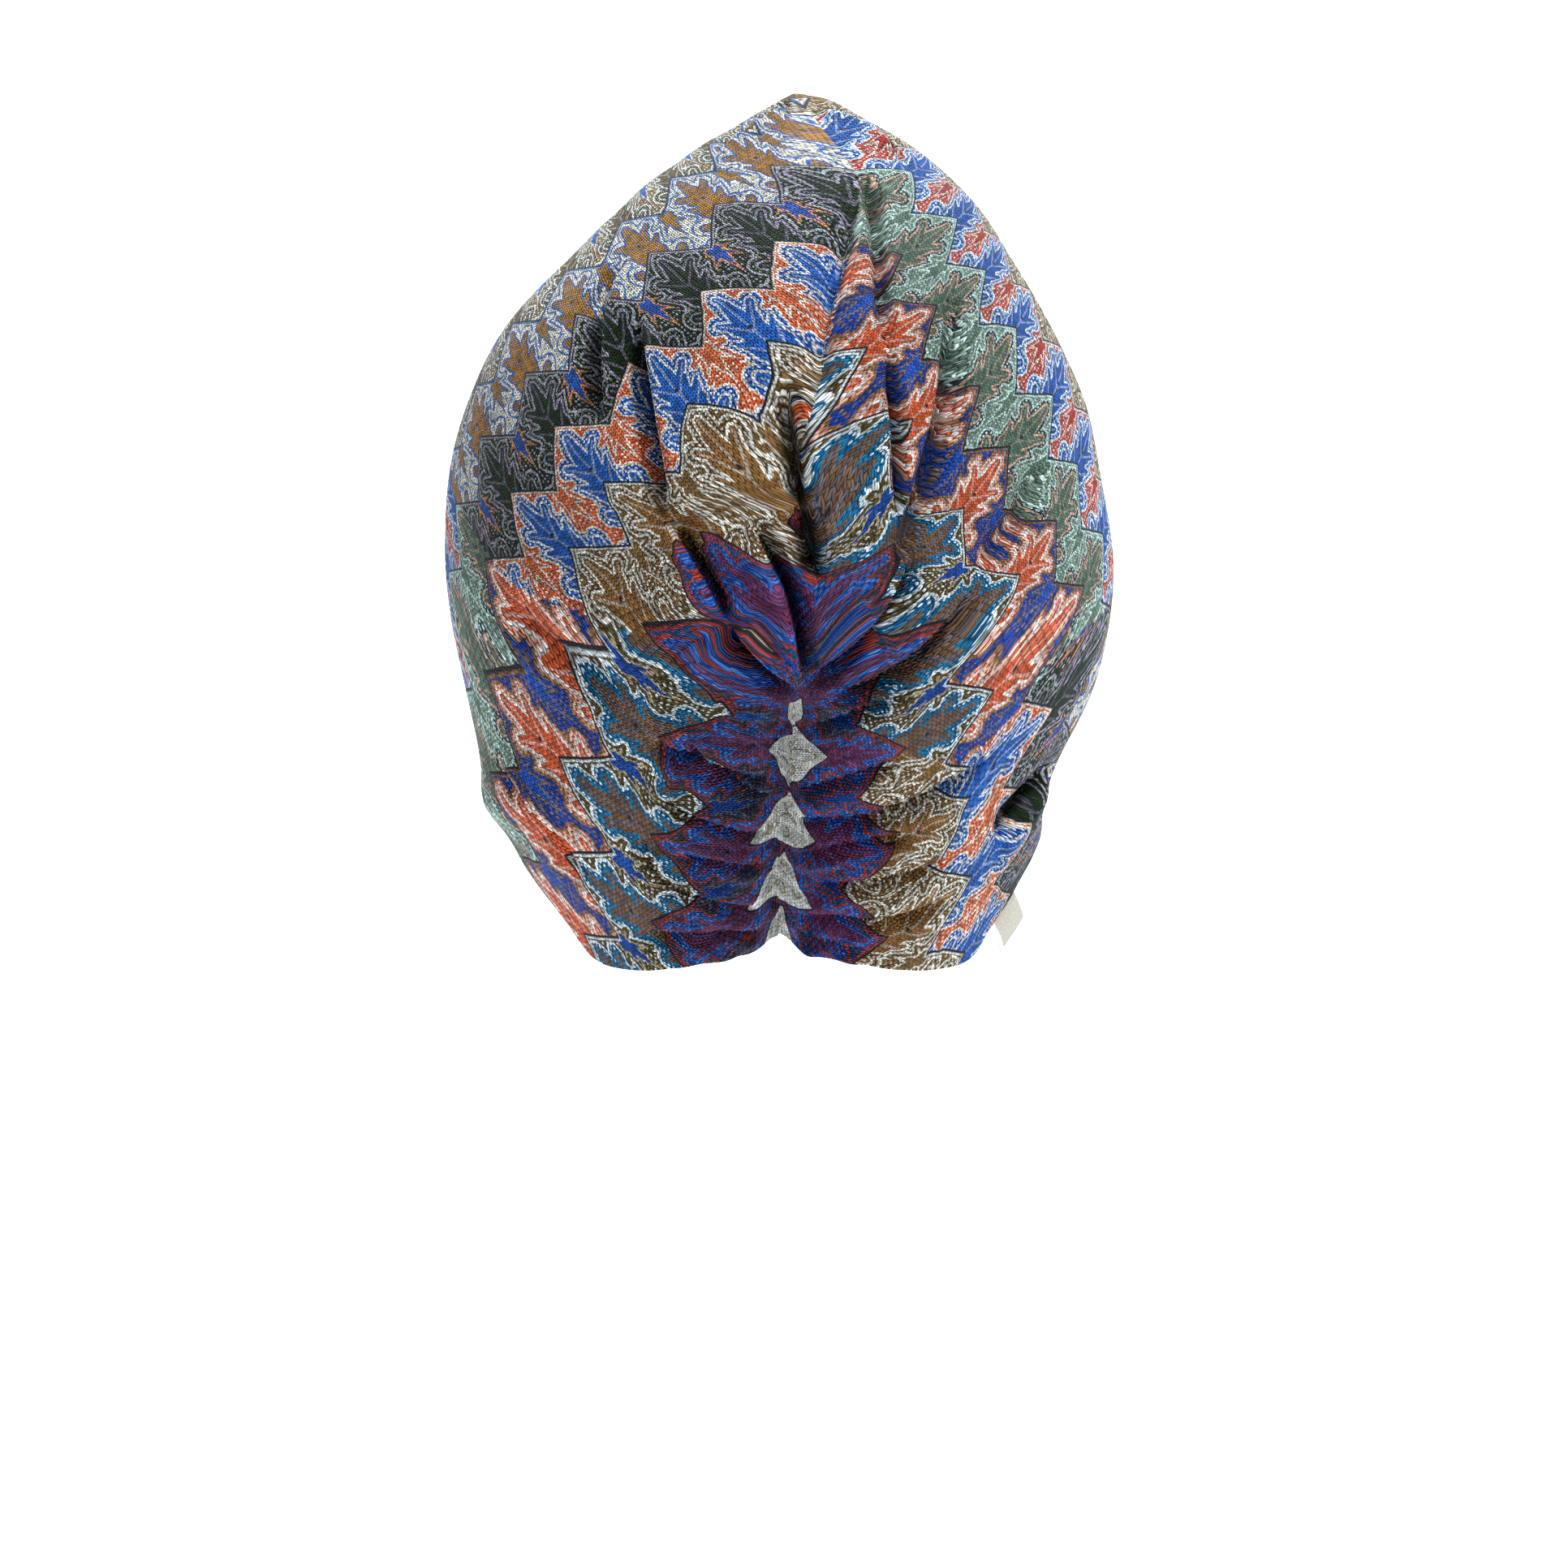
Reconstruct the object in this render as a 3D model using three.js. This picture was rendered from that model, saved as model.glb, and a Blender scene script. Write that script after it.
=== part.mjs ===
import * as THREE from 'three';

// A knitted turban hat as worn, with a twist at the front and a gathered seam at the back.
// Millimetres. +X is the wearer's right, +Y the face side and +Z up. The origin is the
// middle of the head opening, level with the lowest point of the nape hem.

const HEIGHT = 264.5; // nape hem to the peak
const WIDTH = 200; // over the sides
const DEPTH = 232; // back to front
const WALL = 2; // the knit and its turned edge
const FOREHEAD_RISE = 110; // the forehead hem above the nape hem
const PEAK_RIGHT = 5; // the peak off the middle, to the right
const PEAK_FORWARD = 8; // and towards the face
const ROUNDNESS = 2.2; // 2 is an ellipse, more is squarer
const FOLD_WIDTH = 5; // one fold's half width
const FOLD_DEPTH = 6;
const PLEAT_DEPTH = 3; // the pleats that fan out of the twist
const PLEATS = 5; // on each side
const TWIST_WIDTH = 66;
const TWIST_THICKNESS = 14;
const TWIST_GATHER_DEPTH = 1.6;
const TWIST_GATHERS = 3;
const LABEL_HEIGHT = 14.5;
const LABEL_REACH = 11; // out of the hem
const LABEL_THICKNESS = 1.2;
const LABEL_TURN = 0.425; // its place on the hem, 0 at the back seam and 1 at the forehead
const LABEL_FLARE = 0.5; // how far it stands out from the side
const CLEARANCE = 0.6; // between pieces that touch, with room for their facets

const CROWN_COLUMNS = 66;
const CROWN_ROWS = 38;
const TWIST_COLUMNS = 16;
const TWIST_ROWS = 20;

// Level sections. up is a share of HEIGHT, left and right of WIDTH, back and front of DEPTH,
// all measured from the leaning middle line that ends at the peak.
const SECTIONS = [
  { up: 0.0, left: 0.3, right: 0.31, back: 0.276, front: 0.216 },
  { up: 0.045, left: 0.32, right: 0.33, back: 0.302, front: 0.25 },
  { up: 0.098, left: 0.362, right: 0.362, back: 0.34, front: 0.284 },
  { up: 0.151, left: 0.4, right: 0.392, back: 0.375, front: 0.315 },
  { up: 0.189, left: 0.438, right: 0.395, back: 0.397, front: 0.336 },
  { up: 0.238, left: 0.445, right: 0.415, back: 0.425, front: 0.362 },
  { up: 0.321, left: 0.47, right: 0.467, back: 0.466, front: 0.397 },
  { up: 0.397, left: 0.492, right: 0.492, back: 0.489, front: 0.427 },
  { up: 0.476, left: 0.5, right: 0.5, back: 0.5, front: 0.453 },
  { up: 0.567, left: 0.491, right: 0.481, back: 0.496, front: 0.466 },
  { up: 0.65, left: 0.462, right: 0.45, back: 0.474, front: 0.461 },
  { up: 0.733, left: 0.411, right: 0.398, back: 0.433, front: 0.435 },
  { up: 0.809, left: 0.324, right: 0.34, back: 0.366, front: 0.379 },
  { up: 0.873, left: 0.241, right: 0.281, back: 0.289, front: 0.306 },
  { up: 0.926, left: 0.15, right: 0.195, back: 0.203, front: 0.216 },
  { up: 0.968, left: 0.07, right: 0.1, back: 0.112, front: 0.121 },
  { up: 0.99, left: 0.024, right: 0.045, back: 0.043, front: 0.043 },
  { up: 1.0, left: 0.0, right: 0.0, back: 0.0, front: 0.0 },
];

// The hem from the back seam (turn 0) to the forehead (turn 1), rise a share of FOREHEAD_RISE.
const HEM = [
  { turn: 0.0, rise: 0.086 },
  { turn: 0.017, rise: 0.073 },
  { turn: 0.044, rise: 0.045 },
  { turn: 0.111, rise: 0.016 },
  { turn: 0.194, rise: 0.0 },
  { turn: 0.278, rise: 0.007 },
  { turn: 0.333, rise: 0.027 },
  { turn: 0.378, rise: 0.073 },
  { turn: 0.422, rise: 0.164 },
  { turn: 0.467, rise: 0.264 },
  { turn: 0.511, rise: 0.345 },
  { turn: 0.578, rise: 0.455 },
  { turn: 0.667, rise: 0.618 },
  { turn: 0.778, rise: 0.818 },
  { turn: 0.889, rise: 0.945 },
  { turn: 1.0, rise: 1.0 },
];

// Creases seen from behind. Points are [across, up] as shares of WIDTH and HEIGHT, width and
// depth shares of FOLD_WIDTH and FOLD_DEPTH; a depth below 0 is a swell. lip is the bulge beside
// a crease, as a share of its depth, on the left of the way it runs, or below 0 on the right.
const BACK_FOLDS = [
  { from: [0.018, 0.633], by: [0.038, 0.532], to: [0.048, 0.45], width: 1.5, depth: 1.1, lip: 0.4 },
  { from: [0.048, 0.5], by: [0.036, 0.4], to: [0.029, 0.32], width: 1.5, depth: 1.6, lip: 0.3 },
  { from: [-0.05, 0.62], by: [-0.07, 0.52], to: [-0.03, 0.4], width: 3.4, depth: -0.7, lip: 0.0 },
  { from: [0.12, 0.66], by: [0.12, 0.52], to: [0.08, 0.38], width: 3.4, depth: -0.8, lip: 0.0 },
  { from: [-0.033, 0.475], by: [0.0, 0.426], to: [0.028, 0.36], width: 0.9, depth: 0.8, lip: -0.3 },
  { from: [-0.118, 0.455], by: [-0.061, 0.375], to: [0.02, 0.338], width: 1.0, depth: 1.0, lip: 0.5 },
  { from: [-0.213, 0.753], by: [-0.201, 0.615], to: [-0.11, 0.445], width: 1.6, depth: 0.8, lip: 0.5 },
  { from: [-0.137, 0.302], by: [-0.091, 0.287], to: [0.0, 0.278], width: 0.9, depth: 0.7, lip: 0.3 },
  { from: [0.232, 0.532], by: [0.146, 0.412], to: [0.061, 0.338], width: 1.2, depth: 0.8, lip: -0.4 },
  { from: [0.18, 0.331], by: [0.146, 0.307], to: [0.043, 0.288], width: 0.9, depth: 0.6, lip: -0.3 },
  { from: [0.139, 0.901], by: [0.156, 0.8], to: [0.185, 0.624], width: 1.1, depth: 0.5, lip: 0.8 },
  { from: [0.029, 0.36], by: [0.004, 0.182], to: [0.006, -0.08], width: 1.2, depth: 1.1, lip: 0.0 },
  { from: [-0.129, 0.253], by: [-0.082, 0.219], to: [-0.006, 0.2], width: 0.9, depth: 0.8, lip: 0.4 },
  { from: [-0.15, 0.182], by: [-0.099, 0.172], to: [-0.006, 0.159], width: 0.8, depth: 0.6, lip: 0.4 },
  { from: [-0.188, 0.146], by: [-0.116, 0.128], to: [-0.01, 0.123], width: 0.8, depth: 0.6, lip: 0.4 },
  { from: [-0.165, 0.069], by: [-0.105, 0.065], to: [-0.012, 0.078], width: 0.8, depth: 0.5, lip: 0.4 },
  { from: [0.256, 0.269], by: [0.152, 0.237], to: [0.018, 0.237], width: 0.8, depth: 0.6, lip: -0.4 },
  { from: [0.328, 0.253], by: [0.183, 0.191], to: [0.018, 0.179], width: 0.9, depth: 0.8, lip: -0.4 },
  { from: [0.18, 0.168], by: [0.073, 0.147], to: [0.002, 0.137], width: 0.8, depth: 0.6, lip: -0.4 },
  { from: [0.2, 0.119], by: [0.091, 0.114], to: [0.002, 0.108], width: 0.8, depth: 0.5, lip: -0.4 },
  { from: [0.272, 0.101], by: [0.195, 0.077], to: [0.02, 0.06], width: 0.8, depth: 0.5, lip: -0.4 },
];

const CREASE_STEPS = 12;

const sectionAt = tableReader(SECTIONS, 'up', ['left', 'right', 'back', 'front']);
const hemAt = tableReader(HEM, 'turn', ['rise']);
const backCreases = BACK_FOLDS.map(({ from, by, to, width, depth, lip }) => ({
  points: new THREE.QuadraticBezierCurve(onBack(from), throughPoint(from, by, to), onBack(to))
    .getPoints(CREASE_STEPS),
  width: width * FOLD_WIDTH,
  depth: depth * FOLD_DEPTH,
  lip,
}));

// Reads a table smoothly between its rows, as an array in the order of the names given.
function tableReader(rows, key, names) {
  const at = rows.map((row) => row[key]);
  const values = rows.flatMap((row) => names.map((name) => row[name]));
  const curve = new THREE.CubicInterpolant(at, values, names.length);
  return (where) => curve.evaluate(THREE.MathUtils.clamp(where, 0, 1));
}

function onBack([across, up]) {
  return new THREE.Vector2(across * WIDTH, up * HEIGHT);
}

// The control point that takes the curve through its middle point.
function throughPoint(from, by, to) {
  return onBack(by).multiplyScalar(2).addScaledVector(onBack(from), -0.5)
    .addScaledVector(onBack(to), -0.5);
}

function signedPower(value, power) {
  return Math.sign(value) * Math.abs(value) ** power;
}

// The smooth form without folds. angle 0 is the back and a quarter turn the wearer's right.
function smoothPoint(angle, z) {
  const up = z / HEIGHT;
  const [left, right, back, front] = sectionAt(up);
  const lean = up ** 6;
  const across = signedPower(Math.sin(angle), 2 / ROUNDNESS);
  const along = -signedPower(Math.cos(angle), 2 / ROUNDNESS);
  return new THREE.Vector3(
    PEAK_RIGHT * lean + across * WIDTH * (across > 0 ? right : left),
    PEAK_FORWARD * lean + along * DEPTH * (along > 0 ? front : back),
    z,
  );
}

function smoothNormal(angle, z) {
  const turn = 0.02;
  const rise = HEIGHT * 0.004;
  const top = Math.min(z + rise, HEIGHT * 0.998);
  const around = smoothPoint(angle + turn, top - rise).sub(smoothPoint(angle - turn, top - rise));
  const upward = smoothPoint(angle, top).sub(smoothPoint(angle, top - 2 * rise));
  return around.cross(upward).normalize();
}

// How far a crease lowers or lifts the cloth at a point seen from behind.
function creaseAt(point, { points, width, depth, lip }) {
  let nearest = Infinity;
  let side = 0;
  let along = 0;
  for (let i = 0; i < CREASE_STEPS; i += 1) {
    const step = points[i + 1].clone().sub(points[i]);
    const offset = point.clone().sub(points[i]);
    const share = THREE.MathUtils.clamp(offset.dot(step) / step.lengthSq(), 0, 1);
    const distance = offset.addScaledVector(step, -share).length();
    if (distance < nearest) {
      nearest = distance;
      side = Math.sign(step.cross(offset)) * distance;
      along = (i + share) / CREASE_STEPS;
    }
  }
  const ends = THREE.MathUtils.smoothstep(Math.min(along, 1 - along), 0, 0.25);
  const valley = Math.exp(-((side / width) ** 2));
  const bulge = Math.exp(-(((side - 1.8 * Math.sign(lip) * width) / (1.2 * width)) ** 2));
  return depth * ends * (Math.abs(lip) * bulge - valley);
}

// Where creases meet, the cloth follows the deepest one and the highest bulge.
function backFolds(point) {
  const seen = new THREE.Vector2(point.x, point.z);
  const offsets = backCreases.map((crease) => creaseAt(seen, crease));
  return Math.min(0, ...offsets) + Math.max(0, ...offsets);
}

// Pleats that fan out of the twist over the front and fade towards the sides.
function frontPleats(point) {
  const middle = (FOREHEAD_RISE + HEIGHT) / 2;
  const reach = Math.hypot(point.x, point.z - middle);
  const fan = Math.atan2(Math.abs(point.x), point.z - middle);
  const near = THREE.MathUtils.smoothstep(reach, TWIST_WIDTH * 0.3, TWIST_WIDTH * 0.8);
  const far = 1 - THREE.MathUtils.smoothstep(reach, WIDTH * 0.3, WIDTH * 0.55);
  return -PLEAT_DEPTH * near * far * (0.5 + 0.5 * Math.cos(2 * PLEATS * fan));
}

// A point lifted off the smooth form, square to it.
function liftedPoint(angle, z, lift) {
  const normal = z < HEIGHT * 0.999 ? smoothNormal(angle, z) : new THREE.Vector3(0, 0, 1);
  return smoothPoint(angle, z).addScaledVector(normal, lift);
}

// The same with the cloth's creases and pleats.
function crownPoint(angle, z, lift) {
  const point = smoothPoint(angle, z);
  const facing = Math.cos(angle);
  const fold = THREE.MathUtils.smoothstep(facing, 0, 0.3) * backFolds(point)
    + THREE.MathUtils.smoothstep(-facing, 0, 0.4) * frontPleats(point);
  const belowPeak = 1 - THREE.MathUtils.smoothstep(z / HEIGHT, 0.985, 1);
  return liftedPoint(angle, z, fold * belowPeak + lift);
}

function hemHeight(angle) {
  const turn = Math.acos(Math.cos(angle)) / Math.PI;
  return hemAt(turn)[0] * FOREHEAD_RISE;
}

// Moves every vertex of a plain geometry to the place that the function gives for it.
function reshape(geometry, place) {
  const { position, uv } = geometry.attributes;
  const old = new THREE.Vector3();
  for (let i = 0; i < position.count; i += 1) {
    old.fromBufferAttribute(position, i);
    const point = place(old, uv.getX(i), uv.getY(i));
    position.setXYZ(i, point.x, point.y, point.z);
  }
  geometry.computeVertexNormals();
  return geometry;
}

// The upper half of the sphere becomes the outer face and the lower half the inner one.
function crownGeometry() {
  const rows = 2 * CROWN_ROWS + 1;
  const sphere = new THREE.SphereGeometry(1, CROWN_COLUMNS, rows);
  return reshape(sphere, (old, u, v) => {
    const turn = 2 * Math.PI * (Math.round(u * CROWN_COLUMNS) % CROWN_COLUMNS) / CROWN_COLUMNS;
    const angle = turn - 0.58 * Math.sin(turn);
    const row = Math.round((1 - v) * rows);
    const outer = row <= CROWN_ROWS;
    const share = (outer ? CROWN_ROWS - row : row - CROWN_ROWS - 1) / CROWN_ROWS;
    const hem = hemHeight(angle);
    const z = hem + (HEIGHT - hem) * (0.6 * share + 0.4 * share ** 2);
    return crownPoint(angle, z, outer ? 0 : -WALL);
  });
}

// The turn at which the front of the smooth form lies that far off the leaning middle line.
function frontAngle(across, z) {
  const [left, right] = sectionAt(z / HEIGHT);
  const reach = across / (WIDTH * (across > 0 ? right : left));
  return Math.PI - Math.asin(signedPower(THREE.MathUtils.clamp(reach, -1, 1), ROUNDNESS / 2));
}

// The height of one gathered strand of the twist. lean says which way it crosses, and tuck
// how far it dips under the other strand in the middle.
function strandHeight(across, rise, lean, tuck) {
  const offset = (across - lean * 0.45 * Math.cos(Math.PI * rise)) / 0.55;
  const roll = Math.sqrt(Math.max(0, 1 - offset ** 2));
  const under = 1 - tuck * Math.exp(-(((rise - 0.5) / 0.16) ** 2));
  const gathers = Math.cos(Math.PI * TWIST_GATHERS * offset);
  return roll * (TWIST_THICKNESS * under + TWIST_GATHER_DEPTH * gathers);
}

// Two strands of cloth that cross at the front, drawn in at the waist. They lie on the tops
// of the pleats, so their back face is the smooth form lifted by the clearance.
function twistGeometry() {
  const box = new THREE.BoxGeometry(2, 1, 1, TWIST_COLUMNS, TWIST_ROWS, 1);
  const low = FOREHEAD_RISE + 3 * WALL;
  return reshape(box, (old) => {
    const rise = old.y + 0.5;
    const z = low + (HEIGHT * 0.945 - low) * rise;
    const half = 0.5 * TWIST_WIDTH * (0.72 + 0.9 * Math.abs(rise - 0.45) ** 1.5 - 0.6 * rise ** 4);
    const strands = Math.max(
      strandHeight(old.x, rise, 1, 0),
      strandHeight(old.x, rise, -1, 0.5),
    );
    const ends = 1 - (2 * rise - 1) ** 8;
    const lift = CLEARANCE + (old.z > 0 ? Math.max(strands * ends, WALL) : 0);
    return liftedPoint(frontAngle(-half * old.x, z), z, lift);
  });
}

// A point of the hem's edge, halfway through the wall.
function rimPoint(angle) {
  return crownPoint(angle, hemHeight(angle), -WALL / 2);
}

// A folded tag whose root follows the hem's edge at the lower right.
function labelGeometry() {
  const box = new THREE.BoxGeometry(1, 1, 1, 3, 4, 1);
  const middle = LABEL_TURN * Math.PI;
  const step = rimPoint(middle + 0.01).sub(rimPoint(middle - 0.01));
  const span = LABEL_HEIGHT * 0.02 / step.length();
  const outward = smoothNormal(middle, hemHeight(middle));
  const reach = step.clone().normalize().cross(outward).addScaledVector(outward, LABEL_FLARE)
    .normalize();
  const through = reach.clone().cross(step).normalize();
  return reshape(box, (old) => rimPoint(middle + span * old.y)
    .addScaledVector(reach, CLEARANCE + LABEL_REACH * (0.5 + old.x))
    .addScaledVector(through, LABEL_THICKNESS * old.z));
}

function cloth(name, geometry, colour, roughness) {
  const material = new THREE.MeshStandardMaterial({ color: colour, roughness, metalness: 0 });
  const mesh = new THREE.Mesh(geometry, material);
  mesh.name = name;
  return mesh;
}

const hat = new THREE.Group();
hat.add(
  cloth('crown', crownGeometry(), 0x4d5f86, 0.9),
  cloth('front_twist', twistGeometry(), 0x5a6f96, 0.9),
  cloth('label', labelGeometry(), 0xe9e0d0, 0.85),
);

export default hat;
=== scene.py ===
import math

import bpy
import numpy as np
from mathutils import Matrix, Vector


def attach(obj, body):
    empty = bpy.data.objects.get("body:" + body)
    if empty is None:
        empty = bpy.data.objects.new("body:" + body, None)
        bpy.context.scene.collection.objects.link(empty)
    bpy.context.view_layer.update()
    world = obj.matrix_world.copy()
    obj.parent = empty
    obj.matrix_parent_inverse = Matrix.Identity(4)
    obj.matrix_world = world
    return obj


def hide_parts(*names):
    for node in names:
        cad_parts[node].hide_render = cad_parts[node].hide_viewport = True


bl_info = {
    "name": "Twisted turban hat",
    "version": (1, 0, 0),
    "blender": (4, 5, 0),
    "location": "3D View > Sidebar > Turban",
    "description": "Dresses the turban hat in leaf lace knit and sets up its studio",
    "category": "Object",
}

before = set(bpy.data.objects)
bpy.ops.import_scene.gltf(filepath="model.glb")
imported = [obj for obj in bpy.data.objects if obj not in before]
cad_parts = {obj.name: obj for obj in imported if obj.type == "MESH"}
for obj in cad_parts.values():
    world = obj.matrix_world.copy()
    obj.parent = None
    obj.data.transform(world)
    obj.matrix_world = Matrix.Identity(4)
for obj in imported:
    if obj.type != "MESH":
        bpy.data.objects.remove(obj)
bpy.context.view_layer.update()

MM = 0.001
LABEL_TURN = 0.425
LABEL_HEIGHT = 0.0145
LABEL_REACH = 0.011
SEAM_HEAD = 0.335
# One leaf of the pattern, in millimetres.
LEAF_WIDE = 27.0
LEAF_TALL = 24.0

# Level sections of the smooth form: height as a share of the hat's, left and right as shares
# of its width, back and front of its depth, from the leaning middle line.
SECTIONS = np.array([
    # up, left, right, back, front
    (0.0, 0.3, 0.31, 0.276, 0.216),
    (0.045, 0.32, 0.33, 0.302, 0.25),
    (0.098, 0.362, 0.362, 0.34, 0.284),
    (0.151, 0.4, 0.392, 0.375, 0.315),
    (0.189, 0.438, 0.395, 0.397, 0.336),
    (0.238, 0.445, 0.415, 0.425, 0.362),
    (0.321, 0.47, 0.467, 0.466, 0.397),
    (0.397, 0.492, 0.492, 0.489, 0.427),
    (0.476, 0.5, 0.5, 0.5, 0.453),
    (0.567, 0.491, 0.481, 0.496, 0.466),
    (0.65, 0.462, 0.45, 0.474, 0.461),
    (0.733, 0.411, 0.398, 0.433, 0.435),
    (0.809, 0.324, 0.34, 0.366, 0.379),
    (0.873, 0.241, 0.281, 0.289, 0.306),
    (0.926, 0.15, 0.195, 0.203, 0.216),
    (0.968, 0.07, 0.1, 0.112, 0.121),
    (0.99, 0.024, 0.045, 0.043, 0.043),
    (1.0, 0.0, 0.0, 0.0, 0.0),
])

# The hem from the back seam (turn 0) to the forehead (turn 1), rise a share of its full rise.
HEM = np.array([
    # turn, rise
    (0.0, 0.075),
    (0.017, 0.07),
    (0.044, 0.054),
    (0.111, 0.033),
    (0.194, 0.018),
    (0.278, 0.02),
    (0.333, 0.035),
    (0.378, 0.073),
    (0.422, 0.164),
    (0.467, 0.264),
    (0.511, 0.345),
    (0.578, 0.455),
    (0.667, 0.618),
    (0.778, 0.818),
    (0.889, 0.945),
    (1.0, 1.0),
])

# Creases and laps, each through three places on the back, as the camera sees them: steps from
# the left and top edges of its square view, read off it. width and depth are of the valley and
# lip and reach of the bulge beside it, in millimetres. The bulge is left of the way the crease
# runs, or where lip is below 0 right of it.
FOLDS = (
    # name, left, top, left, top, left, top, width, depth, lip, reach
    ("valley_top", 966, 455, 984, 560, 989, 634, 6.0, 8.0, 2.0, 10.0),
    ("pocket", 990, 615, 1003, 660, 1006, 718, 6.0, 12.0, 2.0, 9.0),
    ("tongue_edge", 985, 560, 990, 640, 1005, 704, 2.2, 5.0, -1.5, 6.0),
    ("left_crease", 922, 638, 972, 740, 988, 852, 3.0, 9.0, -4.0, 9.0),
    ("tan_edge", 818, 632, 862, 704, 899, 768, 3.0, 6.0, -3.5, 9.0),
    ("lobe_foot", 893, 764, 926, 809, 982, 854, 3.0, 8.0, 4.0, 9.0),
    ("left_long", 780, 385, 797, 497, 824, 655, 6.0, 6.0, 2.5, 8.0),
    ("left_brow", 770, 310, 735, 410, 738, 526, 7.0, 5.0, 2.5, 12.0),
    ("panel_edge", 1058, 214, 1034, 348, 1008, 478, 5.0, 2.5, 1.0, 8.0),
    ("pleat_top", 1072, 214, 1085, 290, 1095, 458, 4.0, 3.5, 2.5, 5.0),
    ("pleat_low", 1093, 412, 1111, 531, 1114, 672, 3.0, 3.5, 2.5, 5.0),
    ("strip_shade", 1178, 350, 1172, 526, 1084, 740, 5.0, 7.0, 1.6, 10.0),
    ("right_crease", 1131, 672, 1077, 780, 980, 842, 4.0, 8.0, -2.5, 7.0),
    ("right_second", 1206, 713, 1126, 810, 1006, 866, 4.0, 8.0, -2.5, 9.0),
    ("left_mid", 795, 911, 873, 940, 975, 968, 3.0, 8.0, 3.0, 8.0),
    ("gather_a", 837, 895, 896, 962, 974, 985, 3.4, 7.0, 3.0, 7.0),
    ("gather_b", 812, 979, 872, 1013, 974, 1036, 3.0, 6.5, 2.4, 6.0),
    ("gather_c", 794, 1024, 831, 1091, 974, 1124, 3.0, 4.5, 2.2, 6.0),
    ("gather_d", 783, 1146, 863, 1152, 971, 1147, 3.0, 3.5, 1.6, 5.0),
    ("gather_e", 827, 1052, 884, 1063, 972, 1069, 2.6, 4.0, 1.6, 5.0),
    ("right_a", 1128, 838, 1074, 872, 977, 899, 3.2, 5.0, -2.2, 6.0),
    ("right_b", 1240, 918, 1147, 974, 1072, 1002, 3.4, 6.0, -2.6, 7.0),
    ("right_bb", 1104, 996, 1049, 1007, 960, 1013, 3.0, 6.0, -2.2, 6.0),
    ("right_c", 1118, 934, 1040, 957, 967, 974, 2.8, 5.0, -1.8, 6.0),
    ("right_d", 1132, 1030, 1059, 1036, 960, 1058, 2.8, 4.5, -1.8, 6.0),
    ("right_e", 1181, 1057, 1091, 1080, 960, 1091, 2.8, 4.0, -1.8, 6.0),
    ("right_f", 1176, 1101, 1088, 1130, 955, 1124, 2.8, 4.0, -1.6, 6.0),
    ("right_g", 1069, 1169, 1011, 1158, 956, 1136, 2.4, 3.0, -1.4, 5.0),
    ("seam", 986, 840, 960, 1036, 960, 1320, 4.5, 5.0, 0.0, 1.0),
    ("peak_tuck", 974, 127, 939, 150, 870, 202, 2.6, 4.0, 2.0, 6.0),
    ("top_layer", 996, 128, 1062, 158, 1110, 212, 2.4, 2.5, -1.6, 5.0),
    ("left_tuck", 616, 733, 683, 800, 780, 855, 6.0, 2.5, 0.9, 10.0),
    ("right_side", 1288, 560, 1261, 642, 1191, 714, 7.0, 3.0, 1.5, 9.0),
    ("left_low", 613, 940, 661, 1001, 728, 1092, 5.0, 6.0, 2.5, 10.0),
    ("right_low", 1300, 941, 1262, 1001, 1229, 1045, 5.0, 6.0, 2.5, 10.0),
)
# A fold with a lip above this laps over its own valley and shifts the pattern.
LAP_LIP = 1.4
CAMERA_AWAY = 2.4
SEEN_WIDTH = 0.471
SEEN_STEPS = 1932
SEEN_MIDDLE = SEEN_STEPS / 2
SEEN_CENTRE = (0.0015, 0.056)

# Where the cloth's rows come to a point, as turn over up: up the back from the seam's head.
APEX_LINE = np.array([
    # up, turn
    (0.0, 0.0),
    (0.33, 0.016),
    (0.44, 0.028),
    (0.5, 0.018),
    (0.57, 0.015),
    (0.64, 0.031),
    (0.758, 0.06),
    (0.82, 0.09),
    (0.888, 0.12),
    (0.96, 0.08),
    (1.0, 0.0),
])

# The joins between the two families of rows, left and right of the back seam.
LEFT_JOIN = np.array([
    # turn, up
    (-1.0, 1.0),
    (-0.6, 0.72),
    (-0.45, 0.56),
    (-0.27, 0.43),
    (-0.12, 0.37),
    (0.0, 0.335),
])
RIGHT_JOIN = np.array([
    # turn, up
    (0.0, 0.262),
    (0.1, 0.25),
    (0.2, 0.235),
    (0.26, 0.27),
    (0.32, 0.36),
    (0.45, 0.42),
    (1.0, 0.5),
])

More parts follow.
